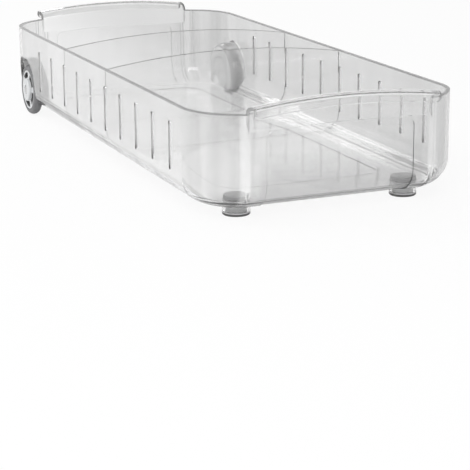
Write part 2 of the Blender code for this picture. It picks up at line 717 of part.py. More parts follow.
def pin_profile():
    """Half section of an axle pin, in the wheel's own heights."""
    face = HUB_OUTER - PIN_SUNK
    under = face - PIN_HEAD_THICKNESS
    end = BOSS_TOP_X - PIN_GRIP - WHEEL_X
    return [
        (0, face), (PIN_HEAD_RADIUS - EDGE_ROUND, face),
        (PIN_HEAD_RADIUS, face - EDGE_ROUND), (PIN_HEAD_RADIUS, under),
        (PIN_RADIUS, under), (PIN_RADIUS, end + EDGE_ROUND),
        (PIN_RADIUS - EDGE_ROUND, end), (0, end)]


def make_wheels(parts, cutters):
    """Both wheels with their tyres and pins, each set standing out of its own side."""
    grey = plastic("wheel plastic", (0.62, 0.63, 0.64), 0.35)
    rubber = plastic("tyre rubber", (0.17, 0.17, 0.175), 0.7)
    steel = plastic("pin steel", (0.58, 0.58, 0.58), 0.3, metallic=1.0)
    for side, way in (("left", -1), ("right", 1)):
        centre = (way * WHEEL_X, AXLE_Y, AXLE_HEIGHT)
        turned = (0, way * math.pi / 2, 0)
        pieces = (("wheel", wheel_profile(), True, grey), ("tyre", tyre_profile(), True, rubber),
                  ("axle_pin", pin_profile(), False, steel))
        for kind, points, closed, material in pieces:
            name = f"{kind}_{side}"
            piece = add_object(name, profile_mesh(name, points, closed), parts, centre, turned)
            turn_profile(piece, closed, TURN_STEPS if closed else SMALL_TURN_STEPS)
            if kind == "wheel":
                combine(piece, window_cutter(f"windows_{side}", cutters, piece), "DIFFERENCE")
            shade_round(piece)
            piece.data.materials.append(material)


def make_foot_pads(parts):
    """Rubber pads pressed into the sockets in the front corners."""
    rubber = plastic("pad rubber", (0.3, 0.3, 0.31), 0.65)
    points = [
        (0, STEM_TOP), (PAD_STEM_RADIUS - PAD_EDGE, STEM_TOP),
        (PAD_STEM_RADIUS, STEM_TOP - PAD_EDGE),
        (PAD_STEM_RADIUS, PAD_THICKNESS), (FOOT_RADIUS, PAD_THICKNESS),
        (FOOT_RADIUS, PAD_EDGE), (FOOT_RADIUS - PAD_EDGE, 0), (0, 0)]
    for side, way in (("left", -1), ("right", 1)):
        name = f"foot_pad_{side}"
        place = (way * (HALF_WIDTH - FOOT_FROM_SIDE), FOOT_FROM_FRONT - HALF_LENGTH, 0)
        pad = add_object(name, profile_mesh(name, points, closed=False), parts, place)
        turn_profile(pad, False, SMALL_TURN_STEPS)
        shade_round(pad)
        pad.data.materials.append(rubber)


def main():
    parts, cutters = start_scene()
    middle = add_object("tray_middle", None, cutters)
    make_tray(parts, cutters, middle)
    make_dividers(parts)
    make_wheels(parts, cutters)
    make_foot_pads(parts)


main()
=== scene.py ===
"""Looks of the clear roll-out organizer: clear mouldings, wheels, pads, studio and camera."""

import json
import math

import bmesh
import bpy
from mathutils import Matrix, Vector

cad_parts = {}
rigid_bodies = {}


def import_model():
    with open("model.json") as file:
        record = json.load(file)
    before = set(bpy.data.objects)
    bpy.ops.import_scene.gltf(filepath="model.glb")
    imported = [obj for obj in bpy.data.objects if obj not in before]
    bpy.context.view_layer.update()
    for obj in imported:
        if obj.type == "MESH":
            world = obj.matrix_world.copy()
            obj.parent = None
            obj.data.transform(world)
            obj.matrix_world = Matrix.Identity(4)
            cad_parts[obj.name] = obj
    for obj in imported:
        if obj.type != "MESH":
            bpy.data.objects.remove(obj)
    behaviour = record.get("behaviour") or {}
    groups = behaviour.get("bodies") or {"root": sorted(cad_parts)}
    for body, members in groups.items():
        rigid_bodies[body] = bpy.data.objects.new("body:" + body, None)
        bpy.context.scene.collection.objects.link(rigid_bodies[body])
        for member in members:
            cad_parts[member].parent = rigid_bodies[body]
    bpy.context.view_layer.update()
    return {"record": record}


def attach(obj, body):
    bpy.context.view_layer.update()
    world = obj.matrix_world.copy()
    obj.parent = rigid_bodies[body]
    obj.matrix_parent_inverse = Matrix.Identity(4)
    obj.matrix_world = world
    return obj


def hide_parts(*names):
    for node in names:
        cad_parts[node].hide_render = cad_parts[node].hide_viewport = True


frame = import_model()

# Sizes of the model, in metres, as in the part's source

# Tray shell
TRAY_WIDTH = 0.1670
TRAY_LENGTH = 0.3882
RIM_HEIGHT = 0.0627
GROUND_CLEARANCE = 0.0065
WALL = 0.0022
BOTTOM_RADIUS = 0.0160
CORNER_RADIUS = 0.0360
CORNER_SWEEP = math.radians(62)
CORNER_FLAT = 0.0044
CREASE_RADIUS = 0.0092

# Shallow panels in the end walls and under the floor
PANEL_SIDE_INSET = 0.0102
PANEL_DEPTH = 0.0008
PANEL_TOP_DROP = 0.0110
PANEL_ARCH = 0.0022
PANEL_CORNER_RADIUS = 0.0045
FLOOR_PANEL_DEPTH = 0.0006
FLOOR_PANEL_SIDE_INSET = 0.0315
FLOOR_PANEL_FRONT_INSET = 0.0460
FLOOR_PANEL_REAR_INSET = 0.0320
FLOOR_PANEL_RADIUS = 0.0140

# Divider slots, counted from the rear
SLOT_COUNT = 10
SLOT_PITCH = 0.0285
SLOT_TOP_DROP = 0.0111
SLOT_HEIGHT = 0.0286
SLOT_PATTERN_FORWARD = 0.0129
DIVIDER_SLOTS = {"divider_rear": 3, "divider_front": 6}

# Pull lips
LIP_OVERHANG = 0.0013
LIP_DEPTH = 0.0125
LIP_THICKNESS = 0.0020
LIP_RISE = 0.0050
LIP_ARCH = 0.0040
LIP_CURL_HEIGHT = 0.0045
LIP_EDGE_RADIUS = 0.0020
LIP_SKIRT_HEIGHT = 0.0065
LIP_SKIRT_CORNER = 0.0040
LIP_ROOT_DROP = 0.0120
LIP_ROOT_FULL = 0.0030
LIP_ROOT_PROUD = 0.0003

# Dividers
DIVIDER_THICKNESS = 0.0018
DIVIDER_ARCH = 0.0062
DIVIDER_TOP_RADIUS = 0.0015
DIVIDER_SIDE_GAP = 0.0004
DIVIDER_FLOOR_GAP = 0.0003
DIVIDER_LIFT = 0.0030
SLOT_SIDE_GAP = 0.0003
TAB_END_GAP = 0.0004

# Wheels and tyres
AXLE_HEIGHT = 0.0180
AXLE_FROM_REAR = 0.0403
WHEEL_INSET = 0.0050
TYRE_WIDTH = 0.0065
TYRE_THICKNESS = 0.0040
TYRE_SHOULDER = 0.0012
TYRE_LOCK_WIDTH = 0.0020
TYRE_LOCK_HEIGHT = 0.0007
TYRE_GAP = 0.0003
RIM_WIDTH = 0.0060
RIM_THICKNESS = 0.0010
HUB_RADIUS = 0.0082
HUB_OUTER = 0.0048
HUB_INNER = 0.0042
WEB_OUTER = 0.0028
WEB_INNER = 0.0011
WINDOW_COUNT = 5
WINDOW_SPAN = math.radians(50)
WINDOW_TURN = math.radians(25)
WINDOW_HUB_GAP = 0.0005
WINDOW_RIM_GAP = 0.0004
EDGE_ROUND = 0.0006

# Axle pins
PIN_RADIUS = 0.0020
PIN_HEAD_RADIUS = 0.0030
PIN_HEAD_THICKNESS = 0.0012
PIN_GAP = 0.0003
PIN_SUNK = 0.0002
PIN_GRIP = 0.0030

# Wheel wells
WELL_CLEARANCE = 0.0034
WELL_SIDE_CLEARANCE = 0.0035
WELL_WALL = 0.0020
WELL_FLARE = 0.0030
WELL_FLARE_DEPTH = 0.0030
WELL_FLOOR_ROUND = 0.0030
AXLE_BOSS_RADIUS = 0.0050
AXLE_BOSS_GAP = 0.0004

# Front feet
FOOT_FROM_SIDE = 0.0299
FOOT_FROM_FRONT = 0.0262
FOOT_RADIUS = 0.0081
PAD_THICKNESS = 0.0020
PAD_STEM_RADIUS = 0.0060
PAD_EDGE = 0.0005
PAD_GAP = 0.0003
SOCKET_RISE = 0.0024
SOCKET_WALL = 0.0012
SOCKET_ROOF = 0.0012

# Modelling aids
CUT_OVERRUN = 0.0100
MERGE_DISTANCE = 0.00001

# Finer facets than the solids have, and small rounds on the moulded edges
CORNER_STEPS = 16
BOTTOM_STEPS = 10
ARC_STEPS = 8
TURN_STEPS = 72
SMALL_TURN_STEPS = 48
LIP_COLUMNS = 28
LIP_CURL_STEPS = 10
LIP_BEND_STEPS = 5
ARCH_STEPS = 28
RIM_ROUND = 0.0005
LIP_ROUND = 0.0005
DIVIDER_ROUND = 0.0004
ROUND_SEGMENTS = 3
ROUND_ANGLE = math.radians(60)  # edges sharper than this get their small round
SHARP_ANGLE = math.radians(28)
FLAT_FACE_WEIGHT = 50
END_NORMAL = 0.8               # faces that count as facing along an axis

# Zones of the tray's finish, most of them painted shade and painted highlights
# Painted shade: dark lines round the bottom fillet
EDGE_SHADE_LINES = ((0.0067, 0.0072), (0.0081, 0.0090), (0.0107, 0.0112))
EDGE_LINE_SOFT = 0.0003
EDGE_START = 0.0030            # past the flat of the floor, where the lines begin
EDGE_START_SOFT = 0.0005
EDGE_REAR_END = 0.0600         # in front of the rear wall, where the lines end
EDGE_SHADE_TONE = 0.03               # tones are shares of white
EDGE_SHADE_CLEARNESS = 0.15
EDGE_SIDE_SHARE = 0.25         # how much the lines show on the sides, against the corners
EDGE_END_SHARE = 0.60
# Painted shade: the end walls get greyer from here down, most so at the front
END_SHADE_TOP = 0.0480         # from where down the end walls get greyer
END_SHADE_FOOT = 0.0120
END_SHADE_TONE = 0.90
END_LOW_SHADE_TONE = 0.64
# Painted shade: greyer upright corners
CORNER_SHADE_TONE = 0.82
# Painted light: the floor's plate is tinted lighter than the walls
FLAT_LIGHT_TONE = 0.99
# Painted highlight: a lighter, less clear band down each upright crease
CREASE_BAND = 0.0022           # from the upright crease to each side
CREASE_BAND_SOFT = 0.0012
CREASE_HIGHLIGHT_TONE = 0.98
CREASE_PAINTED_CLEARNESS = 0.80
# Painted shade: dark lines beside the rear creases
CREASE_SHADE_LINES = ((0.0026, 0.0030), (0.0048, 0.0051))    # beside the rear creases
CREASE_LINE_SOFT = 0.0002
CREASE_LINE_SHADE_TONE = 0.72
# Painted shade: a grey band along the top of the rim
RIM_BAND = 0.0010
RIM_BAND_SOFT = 0.0004
RIM_SHADE_TONE = 0.42
RIM_SHADE_CLEARNESS = 0.85
FLOOR_ROUGHNESS = 0.05
# Painted light and shade in upright streaks on the walls, strongest round the corners
PAINTED_STREAK_DEPTH = 0.02
CORNER_PAINTED_STREAK_DEPTH = 0.10
# Painted shade: grey rings in the wells
WELL_SHADE_RINGS = ((0.0205, 0.0236), (0.0128, 0.0134))      # distances from the axle
WELL_RING_SHADE_TONE = 0.60
SLOT_END_BAND = 0.0040
SLOT_END_TONE = 0.15
LIP_END_BAND = 0.0014
LIP_END_SOFT = 0.0006
REAR_LIP_END_TONE = 0.30
FRONT_LIP_END_TONE = 0.62
LIP_ROOT_TONE = 0.62
# Painted shade: a grey disc in each socket
SOCKET_BAND = 0.0003
SOCKET_SHADE_TONE = 0.80
SOCKET_SHADE_CLEARNESS = 0.45
# Painted shade: the pads darken towards the ground
PAD_SHADE_TOP = 0.0013
PAD_SHADE_SOFT = 0.0003

# Noises of the finishes: scale, detail, roughness and stretch
FLOW_HAZE = (40.0, 4.0)
FLOW_WAVES = (22.0, 2.0)
FLOW_DEPTH = 0.00025
HAIR_SCRATCHES = (160.0, 5.0, 0.65, (1, 0.35, 1))
# Noise of the painted streaks of light and shade on the walls
PAINTED_WALL_STREAKS = (110.0, 3.0, 0.5, (1, 1, 0.04))
MOULD_MOTTLE = (120.0, 6.0, 0.6)
MOULD_GLOSS = (300.0, 4.0)
MOULD_GRAIN = (900.0, 2.0)
MOULD_GRAIN_DEPTH = 0.00003
STEEL_MOTTLE = (500.0, 4.0)
STEEL_GLOSS = (1500.0, 3.0)
NOISE_LOW = 0.3                # the noise between these two spreads over a finish's range
NOISE_HIGH = 0.7
HAZE_SHARE = 0.985             # of the tone and of the clearness, where the plastic is hazy

# Share of plain white in the studio floor, seen directly or mirrored, and through the plastic
FLOOR_WHITE_SHARE = 0.90
FLOOR_THROUGH_GLOW = 1.00      # strength there
# Painted shadow: seen through the plastic, the floor glows less on the side away from the key
# light
FLOOR_PAINTED_SHADOW_GLOW = 0.76       # and on the side away from the key light
FLOOR_SHADE_START = 0.02
FLOOR_SHADE_END = 0.16
FLOOR_HALF_SIZE = 4.0
FLOOR_COLOR = (0.9, 0.9, 0.9)
FLOOR_DULLNESS = 0.9

# Brightness of the studio round the object, from straight below to straight above
STUDIO_TONES = ((0.0, 1.0), (0.30, 1.0), (0.55, 0.35), (0.8, 0.35), (1.0, 0.75))

# Soft lamps: place, size and power
LAMP_AIM = (0, 0, 0.03)
LAMPS = {"key": ((-0.7, -1.3, 1.2), (1.0, 0.7), 14), "fill": ((-1.1, 0.6, 1.1), (0.8, 0.8), 8),
         "back": ((-0.05, 2.2, 1.15), (1.1, 0.42), 4)}

# The photograph's viewpoint, fitted to its perspective
CAMERA_PLACE = (-0.41021, -1.00699, 0.24669)
CAMERA_YAW = math.radians(22.976)
CAMERA_PITCH = math.radians(15.878)
CAMERA_ROLL = math.radians(-0.425)
CAMERA_LENS = 127.14
CAMERA_SENSOR = 36
CAMERA_NEAR = 0.05
CAMERA_FAR = 50

# Places worked out from the sizes
FLOOR_TOP = GROUND_CLEARANCE + WALL
HALF_WIDTH = TRAY_WIDTH / 2
HALF_LENGTH = TRAY_LENGTH / 2
CREASE_SLOPE = math.tan((math.pi / 2 - CORNER_SWEEP) / 2)
CORNER_RUN = CORNER_FLAT + CREASE_RADIUS * CREASE_SLOPE
CORNER_MIDDLE_X = HALF_WIDTH - CORNER_RADIUS
CORNER_MIDDLE_Y = (HALF_LENGTH - CORNER_RUN * math.cos(CORNER_SWEEP)
                   - CORNER_RADIUS * math.sin(CORNER_SWEEP))
CREASE_X = (CORNER_MIDDLE_X + CORNER_RADIUS * math.cos(CORNER_SWEEP)
            - CORNER_RUN * math.sin(CORNER_SWEEP))
END_FLAT_X = CREASE_X - CREASE_RADIUS * CREASE_SLOPE
LIP_HALF = END_FLAT_X + LIP_OVERHANG
SLOT_WIDTH = DIVIDER_THICKNESS + 2 * SLOT_SIDE_GAP
SLOT_TOP = RIM_HEIGHT - SLOT_TOP_DROP
SLOT_BOTTOM = SLOT_TOP - SLOT_HEIGHT
AXLE_Y = HALF_LENGTH - AXLE_FROM_REAR
WHEEL_X = HALF_WIDTH - WHEEL_INSET
TYRE_RADIUS = AXLE_HEIGHT
RIM_RADIUS = TYRE_RADIUS - TYRE_THICKNESS
WELL_RADIUS = TYRE_RADIUS + WELL_CLEARANCE
WELL_FLOOR_X = WHEEL_X - TYRE_WIDTH / 2 - WELL_SIDE_CLEARANCE
BORE_RADIUS = PIN_RADIUS + PIN_GAP
BOSS_TOP_X = WHEEL_X - HUB_INNER - AXLE_BOSS_GAP
SOCKET_TOP = FLOOR_TOP + SOCKET_RISE
STEM_TOP = SOCKET_TOP - SOCKET_ROOF - PAD_GAP

# Finish of each shape in the tray, where it isn't that of the tray itself; those of the slots,
# wells, end panels, sockets and floor panel carry painted shade
FINISH_OF_SHAPE = {"lips": "clear_lip", "slots": "clear_cut_painted_shade", "well_blocks": "clear_well",
                   "end_panels": "clear_step_shade", "foot_sockets": "clear_socket",
                   "floor_panel": "clear_line_shade"}

helpers = bpy.data.collections.new("helpers")
bpy.context.scene.collection.children.link(helpers)


# Modelling

def add_object(name, mesh, collection, location=(0, 0, 0), rotation=(0, 0, 0)):
    item = bpy.data.objects.new(name, mesh)
    item.location = location
    item.rotation_euler = rotation
    collection.objects.link(item)
    return item


def add_collection(name):
    group = bpy.data.collections.new(name)
    helpers.children.link(group)
    return group


def combine(target, tool, operation):
    """Join or cut with a shape or a collection, each face keeping its own finish."""
    step = target.modifiers.new("Cut", "BOOLEAN")
    step.operation = operation
    step.solver = "EXACT"
    step.material_mode = "TRANSFER"
    if isinstance(tool, bpy.types.Collection):
        step.operand_type = "COLLECTION"
        step.collection = tool
    else:
        step.object = tool


def mirror(item, middle, axis):
    step = item.modifiers.new("Mirror", "MIRROR")
    step.use_axis = (axis == "X", axis == "Y", False)
    step.mirror_object = middle
    step.use_mirror_merge = False


def round_edges(item, width):
    """Small rounds on the real edges of a moulding."""
    step = item.modifiers.new("Edges", "BEVEL")
    step.limit_method = "ANGLE"
    step.angle_limit = ROUND_ANGLE
    step.width = width
    step.segments = ROUND_SEGMENTS


def baked(name, source):
    """The source with its modifiers applied, shaded smooth round its curves, as a new object."""
    graph = bpy.context.evaluated_depsgraph_get()
    mesh = bpy.data.meshes.new_from_object(source.evaluated_get(graph))
    mesh.transform(source.matrix_world)
    mesh.name = name
    mesh.shade_smooth()
    mesh.set_sharp_from_angle(angle=SHARP_ANGLE)
    item = add_object(name, mesh, bpy.context.scene.collection)
    step = item.modifiers.new("Flat faces stay flat", "WEIGHTED_NORMAL")
    step.mode = "FACE_AREA"
    step.weight = FLAT_FACE_WEIGHT
    step.keep_sharp = True
    return item


def arc(middle, radius, start, end, steps):
    """Points along a part of a circle."""
    points = []
    for step in range(steps + 1):
        turn = start + (end - start) * step / steps
        points.append((middle[0] + radius * math.cos(turn), middle[1] + radius * math.sin(turn)))
    return points


def round_corner(before, corner, after, radius, steps):
    """Points of the round that replaces a corner between its two neighbours."""
    point = Vector(corner)
    back = (Vector(before) - point).normalized()
    ahead = (Vector(after) - point).normalized()
    half = back.angle(ahead) / 2
    middle = point + (back + ahead).normalized() * radius / math.sin(half)
    first = point + back * radius / math.tan(half) - middle
    last = point + ahead * radius / math.tan(half) - middle
    sweep = first.angle_signed(last)
    return [tuple(middle + Matrix.Rotation(-sweep * step / steps, 2) @ first)
            for step in range(steps + 1)]


def to_mesh(name, shape):
    mesh = bpy.data.meshes.new(name)
    shape.to_mesh(mesh)
    shape.free()
    return mesh


def finish_mesh(name, shape):
    """The mesh of a closed shape, with its faces turned outwards."""
    bmesh.ops.recalc_face_normals(shape, faces=shape.faces)
    return to_mesh(name, shape)


def prism_mesh(name, outlines, place, start, end):
    """Flat outlines drawn out between two depths; place turns them into points in space."""
    shape = bmesh.new()
    for points in outlines:
        shape.faces.new([shape.verts.new(place(*point, start)) for point in points])
    grown = bmesh.ops.extrude_face_region(shape, geom=list(shape.faces))
    moved = [item for item in grown["geom"] if isinstance(item, bmesh.types.BMVert)]
    step = Vector(place(0, 0, end)) - Vector(place(0, 0, start))
    bmesh.ops.translate(shape, verts=moved, vec=step)
    return finish_mesh(name, shape)


def cylinder_mesh(name, radius, bottom, top):
    shape = bmesh.new()
    bmesh.ops.create_cone(shape, cap_ends=True, segments=SMALL_TURN_STEPS,
                          radius1=radius, radius2=radius, depth=top - bottom)
    bmesh.ops.translate(shape, verts=shape.verts, vec=(0, 0, (bottom + top) / 2))
    return finish_mesh(name, shape)


def turn_profile(item, closed, steps=TURN_STEPS):
    """Spin a profile once round its own upright axis."""
    step = item.modifiers.new("Screw", "SCREW")
    step.axis = "Z"
    step.angle = 2 * math.pi
    step.steps = steps
    step.render_steps = steps
    step.use_smooth_shade = True
    step.use_merge_vertices = not closed
    step.merge_threshold = MERGE_DISTANCE


def profile_mesh(name, points, closed):
    """A line of edges through (radius, height) points, for turning."""
    shape = bmesh.new()
    corners = [shape.verts.new((radius, 0, height)) for radius, height in points]
    for first, second in zip(corners, corners[1:]):
        shape.edges.new((first, second))
    if closed:
        shape.edges.new((corners[-1], corners[0]))
    return to_mesh(name, shape)


# Tray

def tray_outline(inset):
    """The tray from above: round corners that meet the flat ends at a crease."""
    quarter = arc((CORNER_MIDDLE_X, CORNER_MIDDLE_Y), CORNER_RADIUS - inset,
                  0, CORNER_SWEEP, CORNER_STEPS)
    quarter.append((CREASE_X - inset * CREASE_SLOPE, HALF_LENGTH - inset))
    rear = quarter + [(-x, y) for x, y in reversed(quarter)]
    return rear + [(-x, -y) for x, y in rear]


def open_tub(name, inset, top):
    """Floor and upright walls, with weights for the bottom fillet and the soft creases."""
    floor = GROUND_CLEARANCE + inset
    shape = bmesh.new()
    marks = shape.edges.layers.float.new("bevel_weight_edge")
    base = shape.faces.new([shape.verts.new((x, y, floor)) for x, y in tray_outline(inset)])
    grown = bmesh.ops.extrude_edge_only(shape, edges=list(base.edges))
    for item in grown["geom"]:
        if isinstance(item, bmesh.types.BMVert):
            item.co.z = top
    for edge in base.edges:
        edge[marks] = 1.0
    end_y = HALF_LENGTH - inset - MERGE_DISTANCE
    crease_reach = (CREASE_RADIUS - inset) * CREASE_SLOPE
    for edge in shape.edges:
        first, last = edge.verts
        if first.co.z != last.co.z and abs(first.co.y) > end_y:
            edge[marks] = crease_reach / (BOTTOM_RADIUS - inset)
    bmesh.ops.recalc_face_normals(shape, faces=shape.faces)
    if base.normal.z > 0:
        bmesh.ops.reverse_faces(shape, faces=shape.faces)
    return to_mesh(name, shape)


def fillet_bottom(item, radius):
    step = item.modifiers.new("Bottom fillet", "BEVEL")
    step.limit_method = "WEIGHT"
    step.offset_type = "OFFSET"
    step.width = radius
    step.segments = BOTTOM_STEPS


def wall_envelope():
    """The solid within the middle of the tray's walls, which keeps the wells inside them."""
    shape = bmesh.new()
    shape.from_mesh(open_tub("wall_surface", WALL / 2, RIM_HEIGHT))
    bmesh.ops.holes_fill(shape, edges=[edge for edge in shape.edges if edge.is_boundary])
    envelope = add_object("wall_envelope", finish_mesh("wall_envelope", shape), helpers)
    fillet_bottom(envelope, BOTTOM_RADIUS - WALL / 2)
    return envelope


def side_turned(name, points, group, middle):
    """A profile turned round the axle line, on both sides."""
    mesh = profile_mesh(name, points, closed=False)
    item = add_object(name, mesh, group, (0, AXLE_Y, AXLE_HEIGHT), (0, math.pi / 2, 0))
    turn_profile(item, closed=False)
    mirror(item, middle, "X")
    return item


def well_profile(radius, floor_x, round_radius):
    """Half section of a well with its flared mouth and rounded floor."""
    flare_start = HALF_WIDTH - WELL_FLARE_DEPTH
    mouth = HALF_WIDTH + CUT_OVERRUN
    points = [(0, mouth), (radius + WELL_FLARE, mouth)]
    for step in range(ARC_STEPS + 1):
        share = 1 - step / ARC_STEPS
        points.append((radius + WELL_FLARE * share ** 2, flare_start + WELL_FLARE_DEPTH * share))
    points += arc((radius - round_radius, floor_x + round_radius), round_radius,
                  0, -math.pi / 2, ARC_STEPS)
    return points


def add_wells(envelope, joins, cuts, middle):
    """Wheel wells with the boss and bore of each axle pin."""
    block_floor = WELL_FLOOR_X - WELL_WALL
    points = well_profile(WELL_RADIUS + WELL_WALL, block_floor, WELL_FLOOR_ROUND + WELL_WALL)
    block = side_turned("well_blocks", points + [(0, block_floor)], joins, middle)
    combine(block, envelope, "INTERSECT")
    bore_end = BOSS_TOP_X - PIN_GRIP - PIN_GAP
    points = well_profile(WELL_RADIUS, WELL_FLOOR_X, WELL_FLOOR_ROUND)
    points += [(AXLE_BOSS_RADIUS, WELL_FLOOR_X), (AXLE_BOSS_RADIUS, BOSS_TOP_X - EDGE_ROUND),
               (AXLE_BOSS_RADIUS - EDGE_ROUND, BOSS_TOP_X), (BORE_RADIUS, BOSS_TOP_X),
               (BORE_RADIUS, bore_end), (0, bore_end)]
    side_turned("well_pockets", points, cuts, middle)


def lip_section(crest):
    """Section of a lip as (outwards, height, share of the full thickness)."""
    root = WALL + 2 * LIP_ROOT_PROUD
    thin = LIP_THICKNESS / root
    reach = LIP_DEPTH - WALL / 2 - LIP_THICKNESS / 2
    top = crest - LIP_THICKNESS / 2
    curl_width = reach - LIP_EDGE_RADIUS
    points = [(0, -LIP_ROOT_DROP, thin), (0, -LIP_ROOT_FULL, 1)]
    for step in range(LIP_CURL_STEPS + 1):
        turn = math.pi / 2 * step / LIP_CURL_STEPS
        outwards = curl_width * (1 - math.cos(turn))
        height = top - LIP_CURL_HEIGHT * (1 - math.sin(turn))
        points.append((outwards, height, 1 + (thin - 1) * step / LIP_CURL_STEPS))
    bend = arc((curl_width, top - LIP_EDGE_RADIUS), LIP_EDGE_RADIUS,
               math.pi / 2, 0, LIP_BEND_STEPS)
    points += [(outwards, height, thin) for outwards, height in bend[1:]]
    return points


def lip_columns():
    """Places across the lip, closer together at the skirt's round corners."""
    straight = LIP_HALF - LIP_SKIRT_CORNER
    inner = [straight * (2 * step / LIP_COLUMNS - 1) for step in range(LIP_COLUMNS + 1)]
    ends = [straight + LIP_SKIRT_CORNER * math.sin(math.pi / 2 * step / LIP_BEND_STEPS)
            for step in range(1, LIP_BEND_STEPS + 1)]
    return [-place for place in reversed(ends)] + inner + ends


def lip_sheet():
    """Middle surface of the rear lip, arched along its crest."""
    wall_middle = HALF_LENGTH - WALL / 2
    shape = bmesh.new()
    weights = shape.verts.layers.deform.new()
    rows = []
    for x in lip_columns():
        crest = LIP_RISE + LIP_ARCH * (1 - (x / LIP_HALF) ** 2)
        section = lip_section(crest)
        corner = max(0, abs(x) - (LIP_HALF - LIP_SKIRT_CORNER)) / LIP_SKIRT_CORNER
        lost = LIP_SKIRT_CORNER * (1 - math.sqrt(max(0, 1 - corner ** 2)))
        edge = crest - LIP_SKIRT_HEIGHT + lost
        outwards, height, share = section[-1]
        section.append((outwards, min(edge, height - LIP_ROOT_PROUD), share))
        row = []
        for outwards, height, share in section:
            vert = shape.verts.new((x, wall_middle + outwards, RIM_HEIGHT + height))
            vert[weights][0] = share
            row.append(vert)
        rows.append(row)
    for row, following in zip(rows, rows[1:]):
        for step in range(len(row) - 1):
            shape.faces.new((row[step], following[step], following[step + 1], row[step + 1]))
    return to_mesh("lips", shape)


def add_lips(joins, middle):
    lips = add_object("lips", lip_sheet(), joins)
    lips.vertex_groups.new(name="thickness")
    sheet = lips.modifiers.new("Thickness", "SOLIDIFY")
    sheet.thickness = WALL + 2 * LIP_ROOT_PROUD
    sheet.offset = 0
    sheet.use_even_offset = True
    sheet.vertex_group = "thickness"
    sheet.use_flip_normals = True
    round_edges(lips, LIP_ROUND)
    mirror(lips, middle, "Y")


def add_end_panels(cuts, middle, finish):
    """Shallow panels in the end walls, which run down round the bottom fillet."""
    half = END_FLAT_X - PANEL_SIDE_INSET
    side_top = RIM_HEIGHT - PANEL_TOP_DROP
    top = []
    for step in range(ARCH_STEPS + 1):
        x = (half - PANEL_CORNER_RADIUS) * (1 - 2 * step / ARCH_STEPS)
        top.append((x, side_top + PANEL_ARCH * (1 - (x / half) ** 2)))
    right = arc((top[0][0], top[0][1] - PANEL_CORNER_RADIUS), PANEL_CORNER_RADIUS,
                0, math.pi / 2, ARC_STEPS)
    left = [(-x, z) for x, z in reversed(right)]
    outline = [(half, -CUT_OVERRUN)] + right + top[1:-1] + left + [(-half, -CUT_OVERRUN)]
    face = prism_mesh("end_panels", [outline], lambda x, z, y: (x, y, z),
                      HALF_LENGTH - BOTTOM_RADIUS - CUT_OVERRUN, HALF_LENGTH + CUT_OVERRUN)
    panels = add_object("end_panels", face, cuts)
    flank = arc((HALF_LENGTH - BOTTOM_RADIUS, GROUND_CLEARANCE + BOTTOM_RADIUS),
                BOTTOM_RADIUS - PANEL_DEPTH, 0, -math.pi / 2, 2 * BOTTOM_STEPS)
    beyond = HALF_LENGTH + 2 * CUT_OVERRUN
    depth = [(HALF_LENGTH - PANEL_DEPTH, RIM_HEIGHT + CUT_OVERRUN)] + flank
    depth += [(flank[-1][0], -2 * CUT_OVERRUN), (beyond, -2 * CUT_OVERRUN),
              (beyond, RIM_HEIGHT + CUT_OVERRUN)]
    layer = prism_mesh("panel_depth", [depth], lambda y, z, x: (x, y, z),
                       -HALF_WIDTH, HALF_WIDTH)
    layer.materials.append(finish)
    combine(panels, add_object("panel_depth", layer, helpers), "INTERSECT")
    mirror(panels, middle, "Y")


def add_floor_panel(cuts):
    x = HALF_WIDTH - FLOOR_PANEL_SIDE_INSET
    rear = HALF_LENGTH - FLOOR_PANEL_REAR_INSET
    front = FLOOR_PANEL_FRONT_INSET - HALF_LENGTH
    corners = [(x, front), (x, rear), (-x, rear), (-x, front)]
    outline = []
    for step, corner in enumerate(corners):
        outline += round_corner(corners[step - 1], corner, corners[(step + 1) % len(corners)],
                                FLOOR_PANEL_RADIUS, ARC_STEPS)
    mesh = prism_mesh("floor_panel", [outline], lambda x, y, z: (x, y, z),
                      -CUT_OVERRUN, GROUND_CLEARANCE + FLOOR_PANEL_DEPTH)
    add_object("floor_panel", mesh, cuts)


def slot_y(number):
    """Middle of a slot, counted from the rear."""
    return -SLOT_PATTERN_FORWARD + SLOT_PITCH * ((SLOT_COUNT + 1) / 2 - number)


def add_slots(cuts):
    radius = SLOT_WIDTH / 2
    outline = arc((0, SLOT_TOP - radius), radius, 0, math.pi, ARC_STEPS)
    outline += arc((0, SLOT_BOTTOM + radius), radius, math.pi, 2 * math.pi, ARC_STEPS)
    reach = HALF_WIDTH + CUT_OVERRUN
    mesh = prism_mesh("slots", [outline], lambda y, z, x: (x, y, z), -reach, reach)
    slots = add_object("slots", mesh, cuts, (0, slot_y(1), 0))
    row = slots.modifiers.new("Row", "ARRAY")
    row.count = SLOT_COUNT
    row.use_relative_offset = False
    row.use_constant_offset = True
    row.constant_offset_displace = (0, -SLOT_PITCH, 0)


